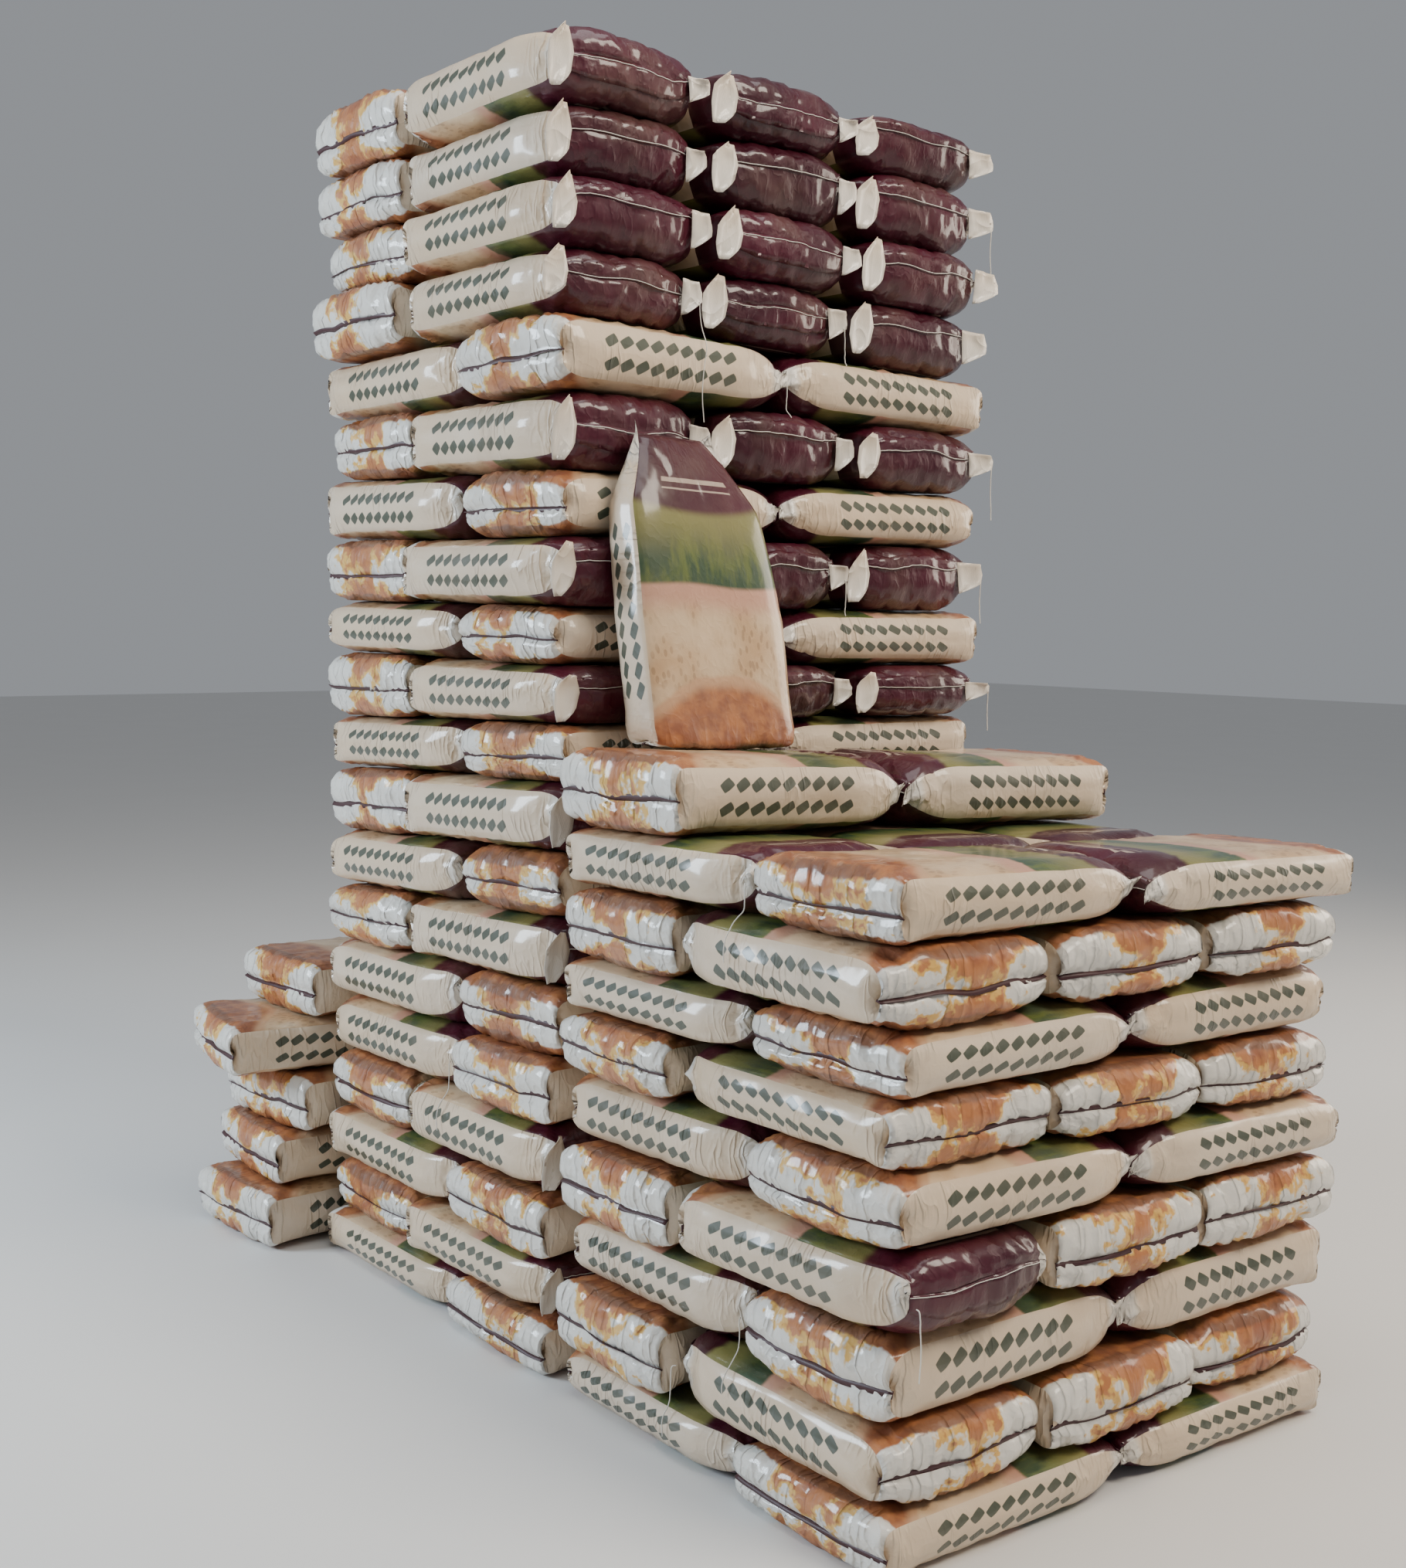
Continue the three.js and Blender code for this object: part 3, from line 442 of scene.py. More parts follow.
def shape_sack(length, width, style, seed):
    """The points of a lying sack, centred, with its bottom end at -X, and each row's distance to the mouth."""
    bottom_back, bottom_open = nose(style["bottom_reach"], style["bottom_square"])
    mouth_back, mouth_open = nose(style["mouth_reach"], style["mouth_square"])
    line_x = np.concatenate([-length / 2 + bottom_back, (length / 2 - mouth_back)[::-1]])
    line_open = np.concatenate([bottom_open, mouth_open[::-1]])
    steps = np.hypot(np.diff(line_x), np.diff(line_open) * SACK_HEIGHT / 2)
    path = np.concatenate([[0], np.cumsum(steps)])
    places = GRID.rows * path[-1]
    x = np.interp(places, path, line_x)[:, None]
    opening = np.maximum(np.interp(places, path, line_open)[:, None], SEAM_OPENING)
    to_bottom = places[:, None]
    to_mouth = (path[-1] - places)[:, None]
    near_bottom = 1 - ease(0.02, BOTTOM_TAPER, to_bottom)
    near_mouth = 1 - ease(0.02, MOUTH_TAPER, to_mouth)

    def blended(part, body):
        """A measure of the section, which goes from its value on the body to the style's own at the two ends."""
        at_bottom, at_mouth = style["bottom_" + part] - body, style["mouth_" + part] - body
        return body + at_bottom * near_bottom + at_mouth * near_mouth

    # Across a panel the film is flat in the middle and rounds off to its folds.
    across = GRID.across[None, :]
    bulge = style["gusset_bulge"]
    body_half = width / 2 - bulge
    half = body_half + (width / 2 - style["bottom_narrow"] - body_half) * near_bottom
    half = half - style["mouth_narrow"] * near_mouth
    power = blended("dome", BODY_DOME)
    reach = blended("corner", BODY_CORNER)
    arch = np.maximum(1 - (reach * np.abs(across)) ** power, 0.02) ** (1 / power)
    middle = blended("seam", 0.5)
    wander = 0.025 * drift(across * 2.5, 0 * across, seed + 0.3) * near_bottom
    wander = wander + 0.05 * drift(across * 1.8, 0 * across, seed + 0.7) * near_mouth
    middle = middle + wander
    rise = arch * opening
    top_z = middle + rise * (1 - middle)
    low_z = middle - rise * middle
    panel_y = half * across
    corner = np.abs(across) ** 3
    pull = style["end_curve"] * (across**2 - 0.3) + style["corner_pull"] * corner
    panel_x = x + pull * (1 - ease(0.0, 0.14, to_bottom))
    panel_x = panel_x - style["mouth_curve"] * (across**2 - 0.3) * (1 - ease(0.0, 0.16, to_mouth))
    # The taped seam sinks into the end, and the end's lower part stands back from its upper one.
    dent = style["seam_dent"] * hump(opening, 0, 0.16) * near_bottom
    top_x = panel_x + dent
    low_x = panel_x + dent + style["undercut"] * near_bottom * np.minimum(1, opening / 0.5)

    # A gusset bulges along the body, is tucked in at the bottom, and stands out as an ear at the mouth.
    down = GRID.down[None, :]
    tent = 1 - np.abs(down)

    def gusset(column, side):
        high, low = top_z[:, [column]], low_z[:, [column]]
        half_open = (high - low) / 2 * SACK_HEIGHT
        spare = np.sqrt(np.maximum(GRID.GUSSET_HALF**2 - half_open**2, 0))
        tuck = (spare + style["tuck"] * (1 - ease(0.02, 0.075, to_bottom))) * (1 - ease(0.03, 0.12, to_bottom))
        tuck = tuck * style["tuck_share"]
        ear = np.array(style["ear_right" if side > 0 else "ear_left"], float)
        size = np.linalg.norm(ear)
        loose = spare * size * (1 - ease(0.0, 0.15, to_mouth))
        turn = 1 - ease(0.02, 0.11, to_mouth)
        lean = np.concatenate([ear[0] * turn, ear[1] * turn + (1 - turn), ear[2] * turn], axis=1) / size
        swell = bulge * (1 - near_bottom) * (1 - near_mouth) * (1 - np.abs(down) ** 2.4)
        edge_x = (top_x[:, [column]] + low_x[:, [column]]) / 2 + (top_x - low_x)[:, [column]] / 2 * down
        away = loose * tent
        gusset_x = edge_x + tuck * tent * 0.3 + away * lean[:, [0]]
        gusset_y = half + swell - tuck * tent + away * lean[:, [1]]
        gusset_z = (high + low) / 2 + down * (high - low) / 2 + away * lean[:, [2]] / SACK_HEIGHT
        return gusset_x, side * gusset_y, gusset_z

    def block(x_part, y_part, z_part, count):
        """The points of one of the bag's four sides."""
        return np.stack([np.broadcast_to(p, (len(places), count)) for p in (x_part, y_part, z_part * SACK_HEIGHT)], -1)

    panels = GRID.PANEL_STEPS + 1
    gussets = GRID.GUSSET_STEPS + 1
    top = block(top_x, panel_y, top_z, panels)
    under = block(low_x, panel_y, low_z, panels)[:, ::-1]
    right = block(*gusset(-1, 1), gussets)
    left = block(*gusset(0, -1), gussets)[:, ::-1]
    points = np.concatenate([top[:, :-1], right[:, :-1], under[:, :-1], left[:, :-1]], axis=1)
    return {
        "points": points, "to_bottom": to_bottom[:, 0], "to_mouth": to_mouth[:, 0], "opening": opening[:, 0],
        "width": width, "seed": seed, "crease": style["crease"],
    }


def loop_parts():
    """For each point round the bag: which of its four sides it is on, and its place across that side."""
    panels, gussets = GRID.PANEL_STEPS, GRID.GUSSET_STEPS
    t = np.concatenate([GRID.across[:-1], GRID.down[:-1], GRID.across[:0:-1], GRID.down[:0:-1]])
    side = np.repeat([0, 1, 2, 3], [panels, gussets, panels, gussets])
    return side, t


def swell_moves(sack):
    """Moves of a sack's points when its film fills out in a cloth simulation."""
    settings = bpy.context.scene.sack_settings
    points = sack["points"]
    side, t = loop_parts()
    edge = np.minimum(sack["to_bottom"], sack["to_mouth"] * 0.85)[:, None]
    inner = 1 - ease(0.84, 0.98, np.abs(t))[None, :]
    held = np.where((side % 2 == 0)[None, :], ease(0.10, 0.16, edge) * (0.25 + 0.75 * inner), 0.0)
    held[0] = held[-1] = 1.0
    mesh = bpy.data.meshes.new("swelling")
    faces = [face.tolist() for group in (GRID.full["quads"], *GRID.full["caps"]) for face in group]
    mesh.from_pydata(points.reshape(-1, 3).tolist(), [], faces)
    body = bpy.data.objects.new("swelling", mesh)
    bpy.context.scene.collection.objects.link(body)
    group = body.vertex_groups.new(name="held")
    for number, weight in enumerate(held.reshape(-1)):
        if weight > 0.001:
            group.add([number], float(weight), "REPLACE")
    cloth = body.modifiers.new("cloth", "CLOTH")
    cloth.settings.quality = 6
    cloth.settings.mass = FILM_MASS
    cloth.settings.tension_stiffness = FILM_TENSION
    cloth.settings.compression_stiffness = FILM_TENSION
    cloth.settings.shear_stiffness = FILM_SHEAR
    cloth.settings.bending_stiffness = FILM_BENDING
    cloth.settings.air_damping = FILM_AIR_DAMPING
    cloth.settings.vertex_group_mass = "held"
    cloth.settings.use_pressure = True
    cloth.settings.uniform_pressure_force = settings.pressure
    cloth.settings.shrink_min = -settings.slack
    cloth.settings.effector_weights.gravity = 0
    cloth.collision_settings.use_collision = False
    cloth.point_cache.frame_start = 1
    cloth.point_cache.frame_end = SWELL_STEPS
    scene = bpy.context.scene
    for step in range(1, SWELL_STEPS + 1):
        scene.frame_set(step)
    grown = body.evaluated_get(bpy.context.evaluated_depsgraph_get()).to_mesh()
    moved = np.empty(len(grown.vertices) * 3)
    grown.vertices.foreach_get("co", moved)
    bpy.data.objects.remove(body)
    bpy.data.meshes.remove(mesh)
    scene.frame_set(1)
    # Only the moves straight off the film are kept, because sliding would draw its print out of shape.
    off_film = outward(points)
    moves = off_film * np.sum((moved.reshape(points.shape) - points) * off_film, axis=-1, keepdims=True)
    size = np.linalg.norm(moves, axis=-1, keepdims=True)
    moves = moves * np.minimum(1, settings.swell / np.maximum(size, 1e-9))
    # The gussets lie flat between the sacks' ends, so they buckle less there.
    middle = ease(0.09, 0.17, np.minimum(sack["to_bottom"], sack["to_mouth"]))[:, None, None]
    near_gusset = np.where(side % 2 == 1, 1.0, ease(0.78, 0.96, np.abs(t)))[None, :, None]
    return moves * (1 - 0.75 * middle * near_gusset)


MASTERS = {}


def master_moves(kind):
    """The simulated moves for one kind of sack."""
    if kind not in MASTERS:
        style = STYLES[kind % len(STYLES)]
        made = shape_sack(SACK_LENGTH - 0.012, SACK_WIDTH - 0.004, style, MASTER_SEED + kind)
        made["points"] = made["points"] + film_relief(made)
        MASTERS[kind] = swell_moves(made) + film_relief(made)
    return MASTERS[kind]


def film_relief(sack):
    """Moves of the points for the filling's lumps, the puckers off the seams and the short creases of the gussets."""
    side, t = loop_parts()
    side, t = side[None, :], t[None, :]
    seed, crease = sack["seed"], sack["crease"]
    to_bottom, to_mouth = sack["to_bottom"][:, None], sack["to_mouth"][:, None]
    opening = sack["opening"][:, None]
    on_panel = side % 2 == 0
    inner = 1 - np.abs(t) ** 6
    lumps = LUMP_HIGH * drift(to_bottom / 0.11, t * 2.2 + side * 9.1, seed)
    lumps = lumps + SMALL_LUMP_HIGH * drift(to_bottom / 0.035, t * 6 + side * 5.3, seed)
    fan = t * (9.0 + 2.0 * drift(to_bottom / 0.05, t * 0, seed + 3))
    pucker = (1 - np.abs(drift(fan, to_bottom / 0.10 + side * 3.7, seed + 1))) ** 3 - 0.35
    broad = 1 - 1.6 * np.abs(drift(fan * 0.42, to_bottom / 0.14 + side * 2.9, seed + 4))
    seam_near = pucker * hump(to_bottom, 0.03, 0.05)
    seam_near = seam_near + 0.75 * broad * hump(to_mouth, 0.045, 0.055)
    ribs = (1 - np.abs(drift(to_bottom / 0.024 + 0.25 * t, t * 0.7 + side * 7.7, seed + 2))) ** 3 - 0.35
    near_both = 1 - ease(0.03, 0.17, np.minimum(to_bottom, to_mouth))
    panel_move = lumps * inner + crease * seam_near * inner * np.minimum(1, opening / 0.25)
    near_tie = hump(to_mouth, 0.06, 0.045)
    cuff = CUFF_HIGH * hump(to_mouth, 0.048, 0.016) - WAIST_DEEP * hump(to_mouth, 0.083, 0.011)
    gusset_move = lumps * (1 - t**4) + crease * ribs * (1 - t**4) * (0.08 + 0.8 * near_both + 0.7 * near_tie)
    gusset_move = gusset_move + cuff * (1 - t**4) * (0.6 + 0.6 * drift(to_mouth * 0 + 0.5, side * 3.1, seed + 8))
    move = np.where(on_panel, panel_move, gusset_move)
    panels, gussets = GRID.PANEL_STEPS, GRID.GUSSET_STEPS
    folds = [0, panels, panels + gussets, 2 * panels + gussets]
    at_fold = np.isin(np.arange(GRID.loop), folds)[None, :]
    move = np.where(at_fold, FOLD_HIGH * np.minimum(1, opening / 0.3), move)
    return outward(sack["points"]) * move[..., None]


def filled_sack(length, width, style, seed, kind, share=1.0):
    """A shaped sack with its creases, and with the simulated moves where this run has them. Share is how much of them
    it gets."""
    made = shape_sack(length, width, style, seed)
    relief = film_relief(made)
    moves = master_moves(kind)
    if moves is None:
        made["points"] = made["points"] + share * relief
    else:
        turned = GRID.mirrored(moves, seed % 2 == 1, seed // 2 % 2 == 1)
        made["points"] = made["points"] + share * (turned + 0.5 * relief)
    return made


def outward(points):
    """Unit normals of a grid of points that closes on itself across its rows."""
    round_it = np.roll(points, -1, axis=1) - np.roll(points, 1, axis=1)
    along = np.gradient(points, axis=0)
    normal = np.cross(round_it, along)
    size = np.linalg.norm(normal, axis=-1, keepdims=True)
    return -normal / np.maximum(size, 1e-9)


def panel_rows(points, row):
    """The upper and lower panel points of one row, from the left fold to the right one."""
    panels, gussets = GRID.PANEL_STEPS, GRID.GUSSET_STEPS
    upper = points[row, : panels + 1]
    start = panels + gussets
    lower = points[row, start : start + panels + 1][::-1]
    return upper, lower


# The mouth of SHORT looks out of a face, and that of LONG meets the next sack's mouth in the middle of a side. PILLOW
# is a SHORT with a rounder bottom end.
SHORT = {
    "bottom_reach": 0.050, "bottom_square": 3.2, "bottom_dome": 4.5, "bottom_corner": 0.93, "bottom_seam": 0.43,
    "mouth_reach": 0.072, "mouth_square": 2.4, "mouth_dome": 3.0, "mouth_corner": 0.95, "mouth_seam": 0.60,
    "mouth_narrow": 0.036, "mouth_curve": 0.022, "gusset_bulge": 0.018, "end_curve": 0.006, "corner_pull": 0.004,
    "bottom_narrow": 0.011, "seam_dent": 0.011, "undercut": 0.008, "tuck": 0.016, "tuck_share": 1.0, "crease": 0.0034,
    "ear_left": (0.20, 0.70, 0.62), "ear_right": (0.20, 0.92, -0.05),
}
LONG = dict(
    SHORT, mouth_reach=0.115, mouth_square=2.15, mouth_dome=2.6, mouth_corner=0.965, mouth_seam=0.5,
    mouth_narrow=0.016, mouth_curve=0.008, ear_left=(0.25, 0.10, 0.45), ear_right=(0.25, 0.10, -0.45),
)
PILLOW = dict(SHORT, bottom_dome=2.7, bottom_corner=0.965, bottom_reach=0.062, bottom_narrow=0.013,
              corner_pull=0.016, undercut=0.004)
STYLES = (SHORT, LONG, PILLOW)


class Bundle:
    """Collects the meshes of one piece."""

    def __init__(self, name):
        self.name = name
        self.points, self.faces, self.bag, self.tag = [], [], [], []
        self.count = 0

    def add(self, points, faces, bag, kinds, seed):
        """Faces are an array of corner numbers; bag holds the UV of each corner and kinds its tag."""
        points = np.asarray(points, float).reshape(-1, 3)
        faces = np.asarray(faces)
        self.points.append(points)
        self.faces.append(faces + self.count)
        self.bag.append(np.asarray(bag, float).reshape(-1, 2))
        kinds = np.broadcast_to(np.asarray(kinds, float), faces.shape).reshape(-1)
        self.tag.append(np.stack([kinds, np.full(len(kinds), seed)], axis=-1))
        self.count += len(points)

    def close(self, faces, size, kind, seed):
        """Adds closing faces to the last points that went in, of which there were size."""
        self.faces.append(faces + self.count - size)
        self.bag.append(np.zeros((faces.size, 2)))
        self.tag.append(np.stack([np.full(faces.size, kind), np.full(faces.size, seed)], axis=-1))

    def add_rings(self, place, rings):
        """Adds a closed strand or strip made of rings of points."""
        quads, ends = ring_faces(*rings.shape[:2])
        self.add(place(rings), quads, np.zeros((quads.size, 2)), PLAIN_FILM, 0.5)
        self.close(ends, rings.shape[0] * rings.shape[1], PLAIN_FILM, 0.5)

    def build(self, material):
        """Makes the piece, with its place in its mesh."""
        mesh = bpy.data.meshes.new(self.name)
        points = np.concatenate(self.points)
        corners = np.concatenate([f.reshape(-1) for f in self.faces])
        sizes = np.concatenate([np.full(len(f), f.shape[1]) for f in self.faces])
        starts = np.concatenate([[0], np.cumsum(sizes)[:-1]])
        mesh.vertices.add(len(points))
        mesh.vertices.foreach_set("co", points.reshape(-1))
        mesh.loops.add(len(corners))
        mesh.polygons.add(len(sizes))
        mesh.polygons.foreach_set("loop_start", starts.astype(np.int32))
        mesh.polygons.foreach_set("vertices", corners.astype(np.int32))
        for name, values in (("Bag", self.bag), ("Tag", self.tag)):
            layer = mesh.uv_layers.new(name=name)
            layer.data.foreach_set("uv", np.concatenate(values).reshape(-1))
        mesh.update(calc_edges=True)
        mesh.validate()
        mesh.shade_smooth()
        mesh.materials.append(material)
        made = bpy.data.objects.new(self.name, mesh)
        bpy.context.scene.collection.objects.link(made)
        return made


def tube(line, radius, sides=4):
    """The rings of a round strand along a line."""
    line = np.asarray(line, float)
    along = np.gradient(line, axis=0)
    along /= np.maximum(np.linalg.norm(along, axis=1, keepdims=True), 1e-9)
    guide = np.where(np.abs(along[:, [2]]) < 0.8, [[0, 0, 1.0]], [[1.0, 0, 0]])
    side = np.cross(along, guide)
    side /= np.maximum(np.linalg.norm(side, axis=1, keepdims=True), 1e-9)
    up = np.cross(side, along)
    angles = np.linspace(0, 2 * math.pi, sides, endpoint=False)
    round_it = np.cos(angles)[None, :, None] * side[:, None] + np.sin(angles)[None, :, None] * up[:, None]
    return line[:, None] + radius * round_it


def ring_faces(rings, sides):
    """Side faces of a row of rings, and fans of three-cornered faces for its two ends."""
    row, column = np.meshgrid(np.arange(rings - 1), np.arange(sides), indexing="ij")
    after = (column + 1) % sides
    here, ahead = row * sides, (row + 1) * sides
    quads = np.stack([here + column, ahead + column, ahead + after, here + after], -1)
    last = (rings - 1) * sides
    ends = [(0, k, k + 1) for k in range(1, sides - 1)] + [(last, last + k + 1, last + k) for k in range(1, sides - 1)]
    return quads.reshape(-1, 4), np.array(ends)


def slab(front, back):
    """A thin closed sheet between two grids of points: points and faces."""
    rows, columns = front.shape[:2]
    front_at = np.arange(rows * columns).reshape(rows, columns)
    back_at = front_at + rows * columns

    def quads(a, b, c, d):
        return np.stack([a, b, c, d], -1).reshape(-1, 4)

    faces = [
        quads(front_at[:-1, :-1], front_at[:-1, 1:], front_at[1:, 1:], front_at[1:, :-1]),
        quads(back_at[1:, :-1], back_at[1:, 1:], back_at[:-1, 1:], back_at[:-1, :-1]),
    ]
    rim_front = np.concatenate([front_at[0, :-1], front_at[:-1, -1], front_at[-1, :0:-1], front_at[:0:-1, 0]])
    rim_back = np.concatenate([back_at[0, :-1], back_at[:-1, -1], back_at[-1, :0:-1], back_at[:0:-1, 0]])
    faces.append(quads(rim_front, rim_back, np.roll(rim_back, -1), np.roll(rim_front, -1)))
    return np.concatenate([front.reshape(-1, 3), back.reshape(-1, 3)]), np.concatenate(faces)


def flat_uv(grid_u, grid_v, faces):
    """UV of each corner of a slab, taken from its two coordinates."""
    both = np.stack([np.concatenate([grid_u.reshape(-1)] * 2), np.concatenate([grid_v.reshape(-1)] * 2)], -1)
    return both[faces.reshape(-1)]


def add_sack(bundles, sack, place, fine=True, shaded_sides=()):
    """Adds a sack to its layer: film and mouth flap to one bundle, tape and stitches to the two others. Shaded sides
    are the sides, -1 and 1, that face the next mouth in the row. Their gussets get the maroon of the head painted round
    the fold near the mouth, as painted shade in the dark gap between the two sacks."""
    film, tape, stitch = bundles
    spread = np.random.default_rng(sack["seed"] + 500)
    points = sack["points"].copy()
    points[..., 2] = np.where(
        (sack["to_mouth"] > LOOSE_REACH)[:, None], np.clip(points[..., 2], 0.0, SACK_HEIGHT), points[..., 2]
    )
    half = sack["width"] / 2
    faces = GRID.full if fine else GRID.plain
    step = faces["step"]
    body = points[::step, faces["columns"]]
    to_mouth = sack["to_mouth"][::step]
    across = np.where(faces["kinds"] == PANEL, faces["across"] * half, faces["across"])
    bag = np.stack([to_mouth[faces["rows"]], across], axis=-1)
    tone = spread.uniform(0.02, 0.98)
    side = np.sign(body.reshape(-1, 3)[faces["quads"], 1].mean(axis=1, keepdims=True))
    # Painted shade: near the mouth, a gusset that faces a neighbouring mouth is mapped onto the maroon head, so the gap
    # between the two sacks reads dark.
    near_mouth = to_mouth[faces["rows"]].max(axis=1, keepdims=True) < SHADE_PAINT_REACH
    painted_shade = near_mouth & np.isin(side, shaded_sides) & (faces["kinds"] == GUSSET)
    bag[..., 1] = np.where(painted_shade, SHADE_PAINT_FROM + 0.1 * bag[..., 1], bag[..., 1])
    film.add(place(body), faces["quads"], bag, np.where(painted_shade, PANEL, faces["kinds"]), tone)
    for caps in faces["caps"]:
        film.close(caps, body.shape[0] * body.shape[1], PANEL, tone)
    columns = slice(None, None, step)
    add_tape(tape, sack, points, columns, place, spread)
    add_mouth_flap(film, stitch, sack, points, columns, place, spread, tone)


def add_tape(tape, sack, points, columns, place, spread):
    """Folds the tape over the bottom seam, where it droops or stands up along it."""
    upper, lower = panel_rows(points, 0)
    seam = ((upper + lower) / 2)[columns]
    swing = spread.choice((-0.9, 0.9)) + 0.9 * drift(seam[:, 1] / 0.10, 0 * seam[:, 1], sack["seed"] + 5)
    swing = np.clip(swing, -1.35, 1.35)
    ring = []
    for along, across_it in TAPE_SECTION:
        moved = seam.copy()
        moved[:, 0] -= along * np.cos(swing) - across_it * np.sin(swing)
        moved[:, 2] += along * np.sin(swing) + across_it * np.cos(swing)
        ring.append(moved)
    tape.add_rings(place, np.stack(ring, axis=1))


def add_mouth_flap(film, stitch, sack, points, columns, place, spread, tone):
    """Folds the mouth's edge over onto the end, pressed flat, with the stitches along its foot."""
    normals = outward(points)
    fold_up = spread.random() < FOLD_UP_SHARE
    grid = []
    for k in range(FLAP_ROWS + 1):
        upper, lower = panel_rows(points, -1 - k)
        upper_out, lower_out = panel_rows(normals, -1 - k)
        surface, out = (upper, upper_out) if fold_up else (lower, lower_out)
        lifted = 0.5 + 0.5 * drift(surface[:, 1] / 0.08, k * 0.1, sack["seed"] + 6)
        curl = 0.0010 + 0.0042 * (k / FLAP_ROWS) ** 2 * lifted
        grid.append((surface + out * curl[:, None])[columns])
    grid = np.stack(grid)
    normal = outward_of_sheet(grid) * (1 if fold_up else -1)
    front, back = grid + FLAP_FRONT * normal, grid - FLAP_BACK * normal
    sheet_points, sheet_faces = slab(front, back)
    if not fold_up:
        sheet_faces = sheet_faces[:, ::-1]
    grid_u = np.broadcast_to(np.linspace(0, -FLAP_WIDTH, FLAP_ROWS + 1)[:, None], grid.shape[:2])
    grid_v = np.broadcast_to((GRID.across[columns] * sack["width"] / 2)[None], grid.shape[:2])
    film.add(place(sheet_points), sheet_faces, flat_uv(grid_u, grid_v, sheet_faces), PANEL, tone)
    line = front[0] * 0.55 + front[1] * 0.45 + FLAP_FRONT * normal[0]
    stitch.add_rings(place, tube(line, STITCH_RADIUS))


def add_ear(film, side, inner, edge, front, place, seed):
    """Adds the flat flap of film at one end of a mouth. Inner and edge are its two sides' distance from the middle of
    the sack, and front is its distance ahead of the middle."""
    spread = np.random.default_rng(seed + 900 + side)
    reach = edge - inner
    if side > 0:
        low, high = spread.uniform(0.18, 0.30), spread.uniform(0.66, 0.80)
        inner_line = ((0.0, low), (0.0, 0.42), (0.0, 0.60), (0.0, high))
        outer_line = ((0.12, low + 0.01), (1.0, 0.43), (1.0, 0.60), (0.80, high - 0.03))
    else:
        low, high = spread.uniform(0.06, 0.16), spread.uniform(0.80, 0.93)
        inner_line = ((0.52, low), (0.02, low + 0.20), (-0.10, 0.58), (0.14, high))
        outer_line = ((0.90, low - 0.01), (1.0, 0.34), (0.92, 0.64), (0.42, high + 0.02))
    knots = np.array([0.0, 0.35, 0.65, 1.0])
    rows = np.linspace(0, 1, 9)[:, None]
    share = np.linspace(0, 1, 6)[None, :]

    def along(line, axis):
        values = np.array(line)[:, axis]
        return np.interp(rows, knots, values)

    away = along(inner_line, 0) * (1 - share) + along(outer_line, 0) * share
    high_at = along(inner_line, 1) * (1 - share) + along(outer_line, 1) * share
    wave = 0.0016 * drift(share * 2.2, rows * 2.6, seed + side)
    crumple = 0.0030 * (1 - np.abs(drift(share * 2.6 + rows * 1.8, rows * 3.4 - share * 1.5, seed + 3 * side))) ** 3
    fold = 0.020 * np.abs(share - 0.5 + spread.uniform(-0.5, 0.5) * (rows - 0.5))
    wave = wave + crumple * np.clip(2.5 * share, 0, 1) + fold
    tip = np.clip((rows - 0.55) / 0.45, 0, 1) ** 2
    ahead = front - 0.008 * np.clip(1 - away / 0.35, 0, 1) ** 1.4 + wave + (0.004 if side > 0 else 0.010) * tip * share
    ahead = ahead - (0.0025 * share if side < 0 else 0.0)
    grid = np.stack([ahead, side * (inner + reach * away), high_at * SACK_HEIGHT], axis=-1)
    normal = outward_of_sheet(grid)
    points, faces = slab(grid + EAR_HALF_THICK * normal, grid - EAR_HALF_THICK * normal)
    bag = flat_uv(0.050 + 0.03 * high_at, 0.05 * away, faces)
    film.add(place(points), faces, bag, GUSSET, spread.uniform(0.05, 0.95))


def add_ears(film, sack, spec, seed):
    """Adds both ears of a mouth, in the plane of the CAD model's, which the thread tails hang from."""
    x0, y0, x1, y1 = sack["box"]
    middle, index = (x0 + x1) / 2, sack["index"]
    centre = (middle + spec["shift"][0], (y0 + y1) / 2 + spec["shift"][1] + spec["origin_y"])
    place = lying_place(centre, -math.pi / 2, spec["below"], spec["above"], spec["origin_y"])
    for side in (-1, 1):
        corner = (index + (side > 0)) * SACK_WIDTH
        if side < 0:
            reach = EAR_OVER * (index > 0)
        else:
            reach = EAR_PAST_CORNER if index == 2 else -EAR_SHORT
        edge = side * (corner - middle) + reach
        inner = side * (corner - middle) - EAR_INNER
        add_ear(film, side, inner, edge, (y1 - y0) / 2 - EAR_BEHIND_FACE, place, seed)


def outward_of_sheet(grid):
    """Unit normals of an open grid of points."""
    along = np.gradient(grid, axis=0)
    over = np.gradient(grid, axis=1)
    normal = np.cross(over, along)
    return normal / np.maximum(np.linalg.norm(normal, axis=-1, keepdims=True), 1e-9)


def level(tops, count):
    """The plane on top of a number of layers: height at the near left corner and its two slopes."""
    if count == 0:
        return 0.0, 0.0, 0.0
    near, right, far = (row[count - 1] / 1000 for row in tops)
    return near, (right - near) / STACK_WIDTH, (far - near) / STACK_DEPTH


def layer_spec(count, tops, ends_in_front, shifts, setback=0, **own):
    """What full_layer asks for: the layer's two planes, its plan and its slip, and what the block or tower adds."""
    shift_x, shift_y = (row[count - 1] for row in shifts)
    return {
        "ends_in_front": count in ends_in_front, "shift": (shift_x / 1000, (shift_y + setback) / 1000),
        "below": level(tops, count - 1), "above": level(tops, count), **own,
    }


def height_at(plane, x, y):
    """The height of a layer plane over a place in the stack's plan."""
    return plane[0] + plane[1] * x + plane[2] * y


